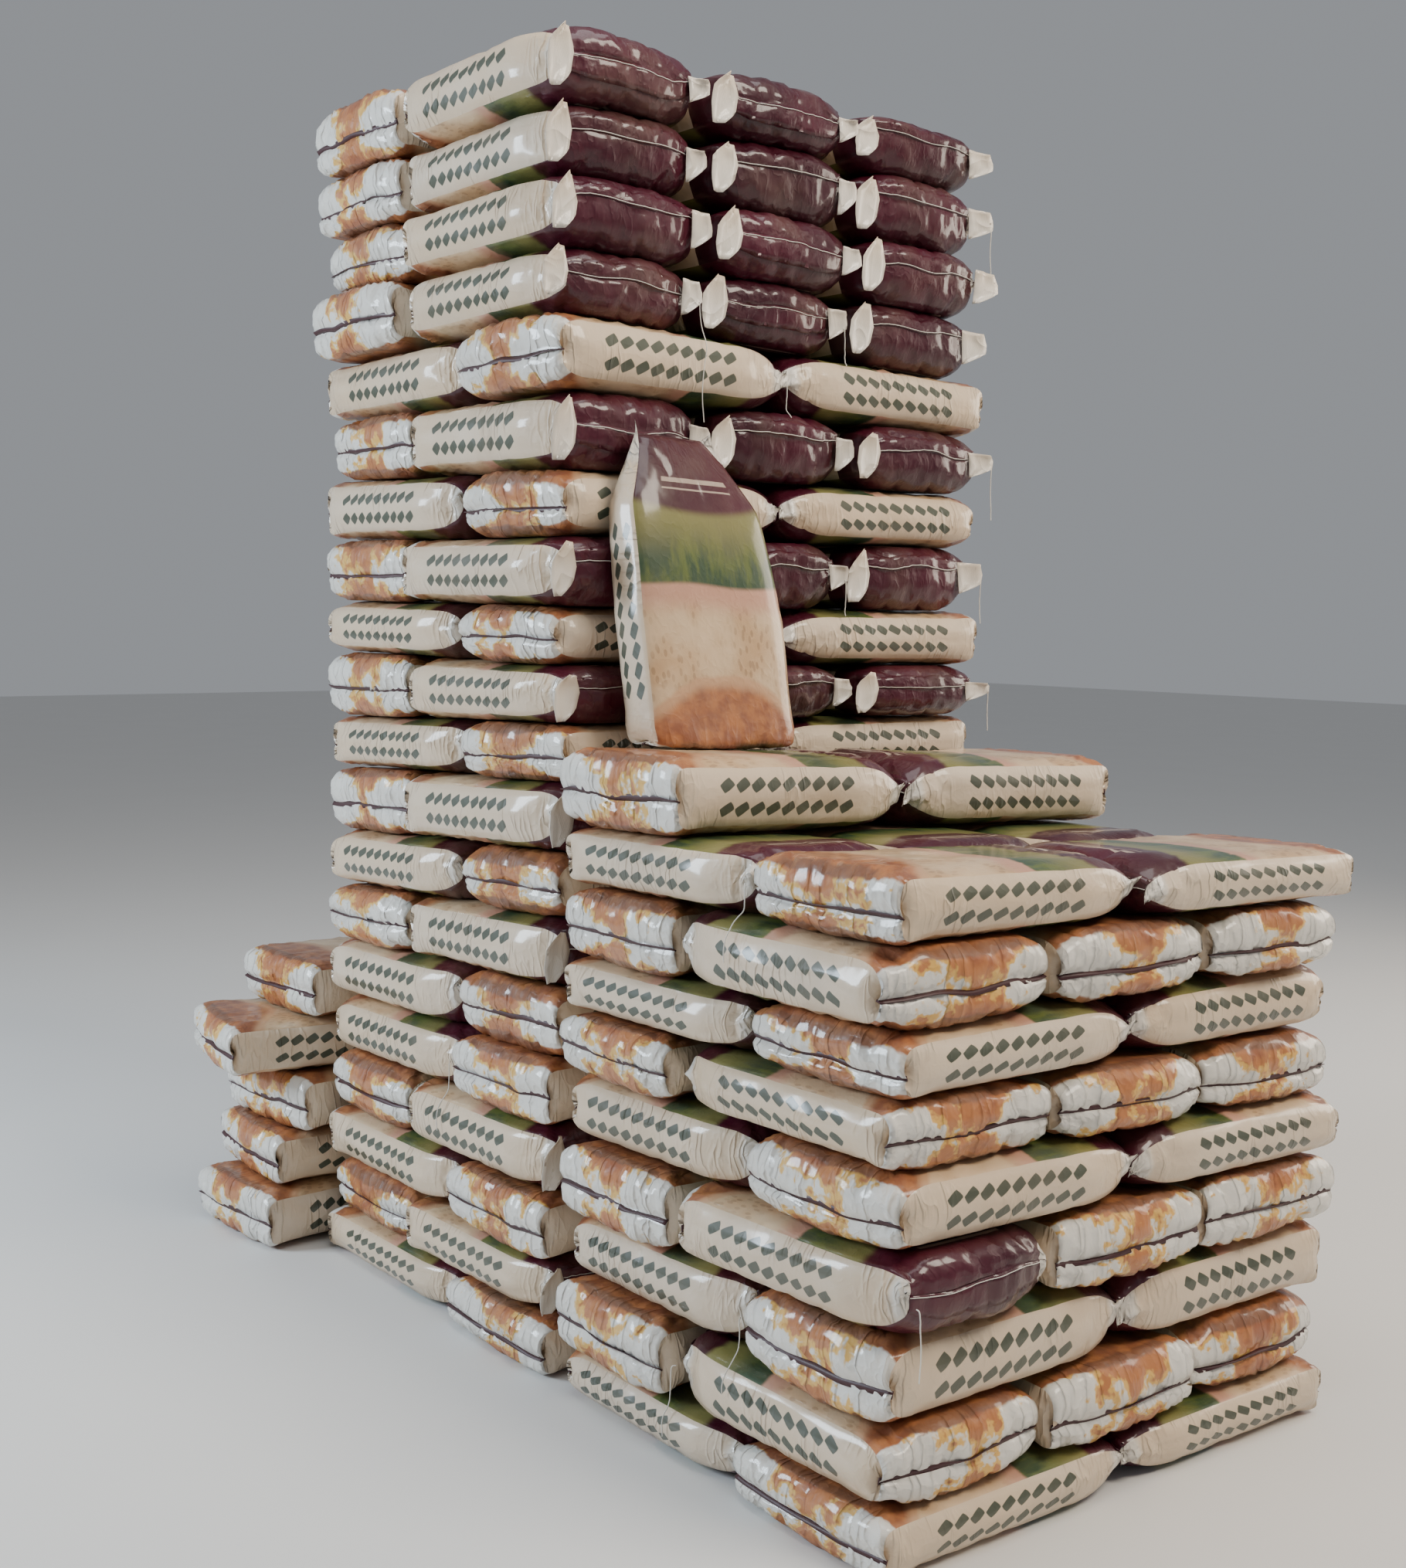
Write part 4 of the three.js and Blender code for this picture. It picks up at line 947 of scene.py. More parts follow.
def lying_place(centre, turn, below, above, origin_y, shift=(0.0, 0.0)):
    """Returns the function that lays a sack's points between two layer planes, in the row frame."""
    cos, sin = math.cos(turn), math.sin(turn)

    def place(points):
        points = np.asarray(points, float).reshape(-1, 3)
        x = centre[0] + points[:, 0] * cos - points[:, 1] * sin
        y = centre[1] + points[:, 0] * sin + points[:, 1] * cos
        low = height_at(below, x + shift[0], y - origin_y + shift[1])
        high = height_at(above, x + shift[0], y - origin_y + shift[1]) - PLANE_GAP
        z = low + (high - low) * points[:, 2] / SACK_HEIGHT
        return np.stack([x + NEAR_CORNER[0], y + NEAR_CORNER[1], z], axis=-1)

    return place


def standing_place(points):
    """Stands a sack's points up on the half layer, leaning back on the tower."""
    points = np.asarray(points, float).reshape(-1, 3)
    high = points[:, 0] + STANDING_HEIGHT / 2
    share = high / STANDING_HEIGHT
    left = np.interp(share, EDGES_AT, LEFT_EDGE)
    right = np.interp(share, EDGES_AT, RIGHT_EDGE)
    x = STANDING_LEFT + left + (right - left) * (0.5 - points[:, 1] / STANDING_WIDTH)
    thick = points[:, 2] / SACK_HEIGHT - 0.5
    y = STANDING_FRONT + STANDING_THICK / 2 - thick * STANDING_THICK
    y = y + STANDING_LEAN * np.clip(high, 0, None)
    z = height_at(level(STEP_TOPS, 1), x, y) + np.maximum(high, 0.001)
    return np.stack([x + NEAR_CORNER[0], y + NEAR_CORNER[1], z], axis=-1)


def five_sacks(layer, ends_in_front, back_hidden):
    """The plan of a full layer: for each sack its box and the way its bottom end faces, in quarter turns."""
    length, width = SACK_LENGTH, SACK_WIDTH
    back = STACK_DEPTH - (HIDDEN_FACE_BACK if back_hidden else 0)

    def out(place):
        return UNEVEN_OUT * uneven(layer, place)

    back_out = (lambda place: 0.0) if back_hidden else out
    if ends_in_front:
        front = [[i * width, -out(i), (i + 1) * width, length] for i in range(3)]
        rear = [[i * length, length, (i + 1) * length, back + back_out(20 + 1 - i)] for i in range(2)]
    else:
        front = [[i * length, -out(i), (i + 1) * length, width] for i in range(2)]
        rear = [[i * width, width, (i + 1) * width, back + back_out(20 + 2 - i)] for i in range(3)]
    front[0][0] = -out(31)
    rear[0][0] = -out(30)
    front[-1][2] = STACK_WIDTH + out(10)
    rear[-1][2] = STACK_WIDTH + out(11)
    long_rows = [False, True] if ends_in_front else [True, False]
    sacks = []
    for row, (boxes, lengthwise) in enumerate(zip((front, rear), long_rows)):
        for i, box in enumerate(boxes):
            if lengthwise:
                turn = 0 if i == 0 else 2
            else:
                turn = 1 if row == 0 else -1
            sacks.append({"box": box, "turn": turn, "row": row, "index": i, "long": lengthwise})
    return sacks


def vary(style, spread, hidden_mouth):
    """A style with a little of each sack's own, its ears folded away where the mouth is between sacks."""
    style = dict(style)
    style["crease"] = bpy.context.scene.sack_settings.crease * spread.uniform(0.75, 1.3)
    style["bottom_square"] *= spread.uniform(0.85, 1.1)
    style["bottom_dome"] *= spread.uniform(0.85, 1.15)
    style["bottom_seam"] += spread.uniform(-0.05, 0.03)
    style["undercut"] *= spread.uniform(0.3, 1.6)
    style["tuck"] *= spread.uniform(0.4, 1.5)
    style["mouth_seam"] += spread.uniform(-0.06, 0.06)
    for key in ("ear_left", "ear_right"):
        ear = np.array(style[key]) * spread.uniform(0.8, 1.15) + spread.uniform(-0.14, 0.14, 3)
        style[key] = tuple(ear * (0.45 if hidden_mouth else 0.35) if abs(ear[1]) > 0.4 else ear)
    return style


def full_layer(name, spec, trims):
    """Makes one layer of five sacks as a piece, and adds its tape and stitches to the trims."""
    bundles = (Bundle(name), *trims)
    for number, sack in enumerate(five_sacks(spec["seed"], spec["ends_in_front"], spec["back_hidden"])):
        seed = spec["seed"] * 10 + number
        spread = np.random.default_rng(seed)
        x0, y0, x1, y1 = sack["box"]
        size_x, size_y = x1 - x0 - 2 * SIDE_GAP, y1 - y0 - 2 * SIDE_GAP
        quarter = sack["turn"]
        mouth_out = number in spec["mouths_out"] or (spec["mouth_front"] and quarter == 1)
        if mouth_out:
            quarter = -1 if quarter == 1 else 1
        length, width = (size_x, size_y) if quarter % 2 == 0 else (size_y, size_x)
        kind = 1 if sack["long"] else 0 if spread.random() < PLAIN_END_SHARE else 2
        style = vary(STYLES[kind], spread, sack["long"] or quarter != -1)
        if sack["long"] and spread.random() < ROUND_END_SHARE:
            style.update({key: PILLOW[key] for key in ("bottom_dome", "bottom_corner", "bottom_reach", "corner_pull")})
        if quarter == 2:
            style["tuck_share"] = TURNED_TUCK
        turn = quarter * math.pi / 2 + spread.uniform(-TURN_OUT, TURN_OUT)
        slide = MOUTH_SLIDE if quarter in (0, 1) else -MOUTH_SLIDE
        centre = [(x0 + x1) / 2, (y0 + y1) / 2]
        centre[0] += spec["shift"][0] + (slide if quarter % 2 == 0 else 0)
        centre[1] += spec["shift"][1] + spec["origin_y"] + (slide if quarter % 2 else 0)
        place = lying_place(centre, turn, spec["below"], spec["above"], spec["origin_y"])
        hidden = sack["row"] == 1 and sack["index"] > 0 or spec["front_hidden"] and sack["index"] > 0
        made = filled_sack(length - MOUTH_SLIDE, width, style, seed, kind + len(STYLES) * (seed % 2))
        in_row = mouth_out and quarter == -1 and spec["mouth_front"]
        # The sides that face another mouth in the row get the maroon head painted on their gussets as painted shade for
        # the gap.
        shaded_sides = [side for side in (-1, 1) if in_row and 0 <= sack["index"] + side <= 2]
        add_sack(bundles, made, place, not hidden, shaded_sides)
        if in_row:
            add_ears(bundles[0], sack, spec, seed)
    build_film(bundles[0])


def finish_piece(piece, node):
    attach(piece, "root")
    if node:
        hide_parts(node)
        piece.name = node + "_sacks"
        piece.data.name = piece.name


class Field:
    """A value that changes over a surface. Reckoning with it as with a number adds nodes to its material."""

    def __init__(self, calc, socket):
        self.calc, self.socket = calc, socket

    def __add__(self, other):
        return self.calc.math("ADD", self, other)

    def __sub__(self, other):
        return self.calc.math("SUBTRACT", self, other)

    def __rsub__(self, other):
        return self.calc.math("SUBTRACT", other, self)

    def __mul__(self, other):
        return self.calc.math("MULTIPLY", self, other)

    def __truediv__(self, other):
        return self.calc.math("DIVIDE", self, other)

    def __pow__(self, other):
        return self.calc.math("POWER", self, other)

    def __abs__(self):
        return self.calc.math("ABSOLUTE", self)

    __radd__, __rmul__ = __add__, __mul__


class Calc:
    """Short calls for the nodes of a new material."""

    def __init__(self, name):
        self.material = bpy.data.materials.new(name)
        self.material.use_nodes = True
        self.tree = self.material.node_tree
        self.tree.nodes.clear()

    def node(self, kind, inputs=None, **settings):
        """A node with its settings, and with its inputs where they are given by name or number."""
        made = self.tree.nodes.new(kind)
        for key, value in settings.items():
            setattr(made, key, value)
        for key, value in (inputs or {}).items():
            if isinstance(value, Field):
                self.tree.links.new(value.socket, made.inputs[key])
            else:
                made.inputs[key].default_value = value
        return made

    def math(self, operation, *values, clamp=False):
        """A Math node over fields and numbers."""
        made = self.node("ShaderNodeMath", dict(enumerate(values)), operation=operation, use_clamp=clamp)
        return Field(self, made.outputs[0])

    def rise(self, value, low, high):
        """0 below low and 1 above high, or the other way round where high is below low."""
        falls = high < low
        ends = {"From Min": min(low, high), "From Max": max(low, high), "To Min": float(falls), "To Max": 1.0 - falls}
        made = self.node(
            "ShaderNodeMapRange", {"Value": value, **ends}, interpolation_type="SMOOTHSTEP", clamp=True
        )
        return Field(self, made.outputs["Result"])

    def mix(self, share, first, second):
        """A colour between two, each of them a field or three numbers."""
        first, second = (c if isinstance(c, Field) else (*c, 1.0) for c in (first, second))
        return Field(self, self.node("ShaderNodeMix", {0: share, 6: first, 7: second}, data_type="RGBA").outputs[2])

    def noise(self, place, scale, detail=2.0, rough=0.5, distortion=0.0):
        """Cloudy unevenness between 0 and 1."""
        inputs = {"Vector": place, "Scale": scale, "Detail": detail, "Roughness": rough, "Distortion": distortion}
        return Field(self, self.node("ShaderNodeTexNoise", inputs).outputs["Fac"])

    def vector(self, x, y, z=0.0):
        """A place made of three coordinates."""
        return Field(self, self.node("ShaderNodeCombineXYZ", {0: x, 1: y, 2: z}).outputs[0])

    def place(self):
        """Where a point is in the stack, in metres."""
        return Field(self, self.node("ShaderNodeTexCoord").outputs["Object"])

    def split(self, name):
        """The two coordinates of a UV map."""
        both = Field(self, self.node("ShaderNodeUVMap", uv_map=name).outputs[0])
        parts = self.node("ShaderNodeSeparateXYZ", {0: both})
        return Field(self, parts.outputs[0]), Field(self, parts.outputs[1])

    def finish(self, **sockets):
        """Adds the surface shader and the output, and gives the material."""
        inputs = {name.replace("_", " "): value for name, value in sockets.items()}
        shader = Field(self, self.node("ShaderNodeBsdfPrincipled", inputs).outputs[0])
        self.node("ShaderNodeOutputMaterial", {0: shader})
        return self.material


# The print's layout, in metres of film from the mouth's edge and from the middle of a panel or gusset.
LINES = ((0.104, 0.0048), (0.122, 0.0018))
LINE_REACH = 0.116
HEAD_END = 0.168
LEAVES_END = 0.314
HILL_TOP = 0.512
STRIP_AT = 0.637
PRINT_END = 0.6675
MARKS_FROM, MARKS_TO = 0.196, 0.546
MARK_ROW = 0.0225
MARK_PITCH, MARK_HALF_LONG, MARK_HALF_HIGH, MARK_SLANT = 0.039, 0.0180, 0.0145, 0.55
MARK_POWER = 1.2
MARK_INK = (0.028, 0.045, 0.030)
GRAIN_INK, PALE_LINE_INK = (0.28, 0.17, 0.09), (0.55, 0.43, 0.34)
BLADE_INK, LIGHT_BLADE_INK, PEACH_INK = (0.10, 0.13, 0.03), (0.19, 0.175, 0.055), (0.52, 0.28, 0.19)
HILL_INK, DARK_HILL_INK, STRIP_INK = (0.42, 0.165, 0.065), (0.26, 0.095, 0.048), (0.14, 0.07, 0.045)
STROKE_CORE_INK = (0.27, 0.085, 0.04)
DUST = (0.26, 0.20, 0.14)
TAPE_COLOUR, THREAD_COLOUR = (0.040, 0.006, 0.009), (0.66, 0.63, 0.56)
WEAVE = 0.0026
CREASE_HIGH = 0.0042


def scaled(colour, *factors):
    """A colour made darker or lighter."""
    return tuple(c * k for c, k in zip(colour, factors * 3 if len(factors) == 1 else factors))


def lozenges(along, across):
    """Distance from a row of slanted lozenges: below 0 inside, above 0 outside."""
    leaned = (along + MARK_SLANT * across) / MARK_PITCH
    cell = (leaned.calc.math("FRACT", leaned) - 0.5) * MARK_PITCH
    return (abs(cell) / MARK_HALF_LONG) ** MARK_POWER + (abs(across) / MARK_HALF_HIGH) ** MARK_POWER - 1.0


def crease_lines(calc, place, scale, detail, sharpness):
    """Thin raised lines, as film has where it buckles."""
    off = abs(calc.noise(place, scale, detail, 0.5, 0.2) - 0.5) * sharpness
    return calc.math("SUBTRACT", 1.0, off, clamp=True) ** 2.0


def panel_print(calc, look, u, v, shift):
    """The printed panel below its head: a leaf band, a plain field with grains, and brush strokes at the foot."""
    cream, white, gold = tuple(look.cream), tuple(look.white), tuple(look.gold)
    green, orange = tuple(look.green), tuple(look.orange)
    side = abs(v)

    # A plain field, clouded, with small grains scattered over it.
    clouds = calc.noise(calc.vector(u, v, shift), 9.0)
    field = calc.mix(calc.rise(clouds, 0.35, 0.7), cream, scaled(cream, 0.80, 0.70, 0.60))
    cells = {"Vector": calc.vector(u * 34.0, v * 70.0), "Scale": 1.0}
    grain = calc.node("ShaderNodeTexVoronoi", cells, feature="F1", voronoi_dimensions="2D")
    seeds = calc.rise(Field(calc, grain.outputs["Distance"]), 0.30, 0.22) * calc.rise(clouds, 0.38, 0.62)
    field = calc.mix(seeds * 0.55, field, GRAIN_INK)

    # A leaf band with a waved lower edge and a peach line under it.
    waved = calc.math("SINE", v * 23.0) * 0.003 + u
    blades = calc.noise(calc.vector(u * 0.35, v, shift), 30.0, 3.0, 0.6)
    leaves = calc.mix(calc.rise(blades, 0.42, 0.66), green, BLADE_INK)
    leaves = calc.mix(calc.rise(waved, 0.275, 0.175), leaves, LIGHT_BLADE_INK)
    body = calc.mix(calc.rise(waved, LEAVES_END + 0.071, LEAVES_END + 0.016), field, PEACH_INK)
    body = calc.mix(calc.rise(waved, LEAVES_END + 0.006, LEAVES_END - 0.006), body, leaves)

    # A brown and orange hill rises at the foot of the field, and ends in a dark strip at the edge of the end.
    ragged = calc.noise(calc.vector(u * 27.0, v * 24.0, shift), 1.0, 3.0, 0.55)
    broad = calc.noise(calc.vector(u * 5.0, v * 8.0, shift), 1.0)
    hill = broad * 0.05 + u - v * v * 1.8
    foot = calc.mix(calc.rise(ragged, 0.35, 0.65), HILL_INK, DARK_HILL_INK)
    strip = calc.rise(ragged * 0.02 + u, STRIP_AT - 0.006, STRIP_AT + 0.006) * calc.rise(side, 0.16, 0.12)
    foot = calc.mix(strip * 0.65, foot, STRIP_INK)
    foot = calc.mix(calc.rise(hill, HILL_TOP + 0.016, HILL_TOP + 0.044), calc.mix(0.5, cream, orange), foot)
    body = calc.mix(calc.rise(hill, HILL_TOP, HILL_TOP + 0.014), body, foot)

    # The end is mostly white film, with ragged orange strokes in its middle that thin out toward the seam.
    stroke = ragged * 0.27 + broad * 0.20 - u * 1.25 - side * 0.8 + 0.678
    end = calc.mix(calc.rise(stroke, -0.014, 0.006), white, gold)
    end = calc.mix(calc.rise(stroke, 0.012, 0.034), end, orange)
    end = calc.mix(calc.rise(stroke, 0.05, 0.11) * 0.8, end, STROKE_CORE_INK)
    edge = ragged * 0.026 + u + v * v * 0.45
    return calc.mix(calc.rise(edge, PRINT_END - 0.0035, PRINT_END + 0.0035), body, end)


def film_material():
    """Glossy printed film over a woven ground, creased next to the seams."""
    look = bpy.context.scene.film_settings
    cream, white, maroon = tuple(look.cream), tuple(look.white), tuple(look.maroon)
    calc = Calc("printed_laminated_film")
    u, v = calc.split("Bag")
    kind, tone = calc.split("Tag")
    is_gusset = calc.math("GREATER_THAN", kind, (PANEL + GUSSET) / 2)
    is_plain = calc.math("GREATER_THAN", kind, (GUSSET + PLAIN_FILM) / 2)
    shift = tone * 37.0
    spot = calc.vector(u, v, shift)
    side = abs(v)

    # The head is dark up to an arched edge, with a broad and a fine pale line on it.
    panel = panel_print(calc, look, u, v, shift)
    head = calc.mix(calc.rise(calc.noise(spot, 3.0, 1.0), 0.3, 0.7), maroon, scaled(maroon, 1.7))
    panel = calc.mix(calc.rise(u + v * v * 0.55 - HEAD_END, 0.012, -0.008), panel, head)
    broad, fine = (calc.rise(abs(u - at), half + 0.0004, half - 0.0004) for at, half in LINES)
    lines = calc.math("MAXIMUM", broad, fine) * calc.rise(side, LINE_REACH + 0.002, LINE_REACH - 0.002)
    panel = calc.mix(lines * 0.75, panel, PALE_LINE_INK)

    # The gussets are cream, with two rows of solid lozenges, and bare film next to the seams.
    marks = calc.rise(lozenges(u, (side - MARK_ROW) * calc.math("SIGN", v)), 0.06, -0.08)
    marks = marks * calc.rise(u, MARKS_FROM - 0.001, MARKS_FROM + 0.001)
    marks = marks * calc.rise(u, MARKS_TO + 0.001, MARKS_TO - 0.001)
    ground = calc.mix(calc.noise(spot, 6.0) * 0.3 + tone * 0.2, cream, white)
    ground = calc.mix(calc.rise(u, 0.085, 0.060) * 0.8, ground, white)
    gusset = calc.mix(marks * 0.94, ground, MARK_INK)

    colour = calc.mix(is_plain, calc.mix(is_gusset, panel, gusset), white)
    dust = calc.rise(calc.noise(calc.place(), 5.0, 4.0, 0.6), 0.45, 0.75) * 0.16
    colour = calc.mix(dust, colour, DUST)

    # Creases stand across the seams near the ends and across the gussets, with a fine weave over all.
    fan = crease_lines(calc, calc.vector(u * 6.0, v * 24.0, shift), 1.0, 1.5, 8.5)
    ribs = crease_lines(calc, calc.vector(u * 40.0, v * 9.0, shift), 1.0, 1.5, 9.0)
    loose = crease_lines(calc, spot, 26.0, 2.0, 6.0)
    near_mouth, near_bottom = calc.rise(u, 0.17, 0.04), calc.rise(u, 0.56, 0.68)
    ends = calc.math("MAXIMUM", near_mouth, near_bottom)
    patch = calc.rise(calc.noise(spot, 7.0, 1.0), 0.50, 0.62)
    fan_share = calc.math("MAXIMUM", near_mouth * 0.10, near_bottom) * (1.0 - is_gusset)
    rib_share = calc.math("MAXIMUM", ends, patch * 0.7) * is_gusset
    height = fan * fan_share + ribs * rib_share + loose * (ends * 0.16 + 0.10) + calc.noise(spot, 45.0) * 0.14
    weave_u, weave_v = (calc.math("SINE", across * (2 * math.pi / WEAVE)) for across in (u, v))
    height = height + weave_u * weave_v * 0.02
    bump = calc.node("ShaderNodeBump", {"Strength": 1.0, "Distance": CREASE_HIGH, "Height": height})
    return calc.finish(
        Base_Color=colour, Roughness=calc.noise(calc.place(), 11.0, 3.0) * 0.22 + (look.roughness - 0.11),
        Normal=Field(calc, bump.outputs[0]), Coat_Weight=0.6, Coat_Roughness=0.13, Specular_IOR_Level=0.22,
    )


def trim_material(name, colour, roughness, fibre):
    """Fabric for tape and thread: one colour, with a fine rib in its roughness."""
    calc = Calc(name)
    rough = calc.noise(calc.place(), 1 / fibre) * 0.3 + (roughness - 0.15)
    return calc.finish(Base_Color=(*colour, 1.0), Roughness=rough)


KIT = {}


def materials():
    """The three finishes, made once."""
    if not KIT:
        KIT["film"] = film_material()
        KIT["tape"] = trim_material("binding_tape", TAPE_COLOUR, 0.5, 0.002)
        KIT["thread"] = trim_material("closing_thread", THREAD_COLOUR, 0.75, 0.0015)
    return KIT


def new_trims(part):
    """Where one part of the stack collects its tape and its stitches."""
    return Bundle(part + "_seam_tape"), Bundle(part + "_mouth_stitches")


def build_trims(trims):
    """Turns the collected tape and stitches into pieces."""
    for bundle, material, slot in zip(trims, ("tape", "thread"), ("seam_tape", "stitch_thread")):
        finish_piece(bundle.build(materials()[material]), None)


def build_film(bundle):
    """Turns the collected film of a layer into the piece that stands for the node of that name."""
    finish_piece(bundle.build(materials()["film"]), bundle.name)


class SACKS_OT_threads(bpy.types.Operator):
    """Hang the loose tails of the closing threads"""

    bl_idname = "sacks.threads"
    bl_label = "Thread tails"
    bl_options = {"REGISTER", "UNDO"}

    def execute(self, context):
        diameter = context.scene.sack_settings.thread
        for number, (length, route) in enumerate(THREAD_TAILS, 1):
            name = f"thread_tail_{number:02d}"
            points = np.array(route) + np.append(NEAR_CORNER, 0.0)
            curve = bpy.data.curves.new(name + "_cotton", "CURVE")
            curve.dimensions = "3D"
            curve.bevel_depth = diameter / 2
            curve.bevel_resolution = 2
            curve.resolution_u = 4
            curve.use_fill_caps = True
            line = curve.splines.new("BEZIER")
            line.bezier_points.add(len(points) - 1)
            for knot, point in zip(line.bezier_points, points):
                knot.co = point
                knot.handle_left_type = knot.handle_right_type = "AUTO"
            curve.materials.append(materials()["thread"])
            piece = bpy.data.objects.new(name + "_cotton", curve)
            context.scene.collection.objects.link(piece)
            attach(piece, "root")
            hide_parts(name)
        return {"FINISHED"}


class SACKS_OT_block(bpy.types.Operator):
    """Build the nine full layers of the low block in front"""

    bl_idname = "sacks.block"
    bl_label = "Low block"
    bl_options = {"REGISTER", "UNDO"}

    def execute(self, context):
        trims = new_trims("block")
        for count in range(1, len(BLOCK_TOPS[0]) + 1):
            spec = layer_spec(
                count, BLOCK_TOPS, BLOCK_ENDS_IN_FRONT, (BLOCK_SHIFT_X, BLOCK_SHIFT_Y), seed=BLOCK_SEED + count,
                origin_y=0.0, back_hidden=True, front_hidden=False, mouth_front=False,
                mouths_out=BLOCK_MOUTHS_OUT.get(count, ()),
            )
            full_layer(f"block_layer_{count:02d}", spec, trims)
        build_trims(trims)
        return {"FINISHED"}


class SACKS_OT_tower(bpy.types.Operator):
    """Build the twenty full layers of the tower"""

    bl_idname = "sacks.tower"
    bl_label = "Tower"
    bl_options = {"REGISTER", "UNDO"}

    def execute(self, context):
        layers = len(TOWER_TOPS[0])
        for first, last, part in ((1, 7, "low"), (8, 13, "middle"), (14, layers, "high")):
            trims = new_trims("tower_" + part)
            for count in range(first, last + 1):
                spec = layer_spec(
                    count, TOWER_TOPS, TOWER_ENDS_IN_FRONT, (TOWER_SHIFT_X, TOWER_SHIFT_Y), TOWER_SETBACK, seed=count,
                    origin_y=STACK_DEPTH, back_hidden=False, front_hidden=count < len(BLOCK_TOPS[0]),
                    mouth_front=True, mouths_out=(),
                )
                full_layer(f"tower_layer_{count:02d}", spec, trims)
            build_trims(trims)
        return {"FINISHED"}


class SACKS_OT_step(bpy.types.Operator):
    """Build the half layer on top of the block"""

    bl_idname = "sacks.step"
    bl_label = "Half layer"
    bl_options = {"REGISTER", "UNDO"}

    def execute(self, context):
        trims = new_trims("step")
        bundles = (Bundle("step_layer"), *trims)
        below, above = level(BLOCK_TOPS, len(BLOCK_TOPS[0])), level(STEP_TOPS, 1)
        for number, (x, slide, turn) in enumerate(((0.315, -0.004, 0.012), (0.945, -0.006, -0.010 + math.pi))):
            made = filled_sack(SACK_LENGTH - 0.008, SACK_WIDTH - 0.008, LONG, STEP_SEED + number, 1 + 3 * number)
            centre = (x, STEP_FRONT + SACK_WIDTH / 2 + slide)
            add_sack(bundles, made, lying_place(centre, turn, below, above, 0.0))
        build_film(bundles[0])
        build_trims(trims)
        return {"FINISHED"}


class SACKS_OT_standing(bpy.types.Operator):
    """Build the sack that stands on the half layer and leans on the tower"""

    bl_idname = "sacks.standing"
    bl_label = "Standing sack"
    bl_options = {"REGISTER", "UNDO"}

    def execute(self, context):
        trims = new_trims("standing")
        bundles = (Bundle("standing_sack"), *trims)
        style = dict(
            SHORT, mouth_reach=0.30, mouth_square=1.75, mouth_dome=3.0, mouth_corner=0.95, bottom_reach=0.03,
            bottom_square=4.0, crease=0.0013, mouth_seam=0.5, bottom_seam=0.5, gusset_bulge=0.008, seam_dent=0.002,
            bottom_narrow=-0.001, undercut=0.0, mouth_curve=0.0, ear_left=(0.3, 0.5, 0.3), ear_right=(0.6, 0.1, 0.1),
        )
        made = filled_sack(STANDING_HEIGHT, STANDING_WIDTH, style, STANDING_SEED, 0, share=0.4)
        # This sack's film is taut, so its print reaches a little further toward the foot.
        made["to_mouth"] = made["to_mouth"] * 0.96
        add_sack(bundles, made, standing_place)
        build_film(bundles[0])
        build_trims(trims)
        return {"FINISHED"}


class SACKS_OT_rear(bpy.types.Operator):
    """Build the lower pile behind the tower"""

    bl_idname = "sacks.rear"
    bl_label = "Rear pile"
    bl_options = {"REGISTER", "UNDO"}

    def execute(self, context):
        trims = new_trims("rear")
        for i, top in enumerate(REAR_TOPS):
            bundles = (Bundle(f"rear_layer_{i + 1:02d}"), *trims)
            below = ((REAR_TOPS[i - 1] if i else 0) / 1000, 0.0, 0.0)
            above = (top / 1000, 0.0, 0.0)
            slide = REAR_SLIDE[i] / 1000
            places = (
                (SACK_LENGTH / 2 + slide, 0.024, REAR_TURN[i]),
                (1.5 * SACK_LENGTH - 0.006 + slide, 0.020, math.pi),
            )
            for number, (x, y, turn) in enumerate(places):
                seed = REAR_SEED + 10 * i + number
                made = filled_sack(SACK_LENGTH + 0.004, SACK_WIDTH - 0.008, LONG, seed, 1 + 3 * number)
                centre = (x, REAR_FRONT + SACK_WIDTH / 2 + y)
                add_sack(bundles, made, lying_place(centre, turn, below, above, 0.0))
            build_film(bundles[0])
        build_trims(trims)
        return {"FINISHED"}


CAMERA_PLACE = (-2.641806, -3.504336, 1.640)
CAMERA_AZIMUTH, CAMERA_PITCH, CAMERA_ROLL = 37.38, 5.263, 0.689

# Each lamp's name, place, aim, size, power and colour.
LAMPS = (
    ("cool_left", (-5.0, 3.0, 2.9), (0, 0, 1.3), (1.6, 2.2), 400, (0.74, 0.87, 1.0)),
    ("high_front", (1.2, -4.6, 6.0), (0, 0, 1.2), (2.6, 2.2), 350, (1.0, 0.90, 0.76)),
    ("soft_right", (6.0, -1.6, 3.0), (0, 0, 1.0), (3.2, 2.6), 200, (1.0, 0.88, 0.74)),
    ("overhead", (-0.6, -1.2, 5.8), (0, 0, 0), (3.0, 3.0), 110, (1.0, 1.0, 1.0)),
)
ROOM_COLOUR, ROOM_STRENGTH = (0.86, 0.90, 0.96, 1.0), 0.34


def area_light(name, place, target, size, power, colour):
    """Adds a soft lamp that looks at its target."""
    data = bpy.data.lights.new(name, "AREA")
    data.shape = "RECTANGLE"
    data.size, data.size_y = size
    data.energy = power
    data.color = colour
    lamp = bpy.data.objects.new(name, data)
    lamp.location = place
    lamp.rotation_euler = (Vector(target) - Vector(place)).to_track_quat("-Z", "Y").to_euler()
    bpy.context.scene.collection.objects.link(lamp)


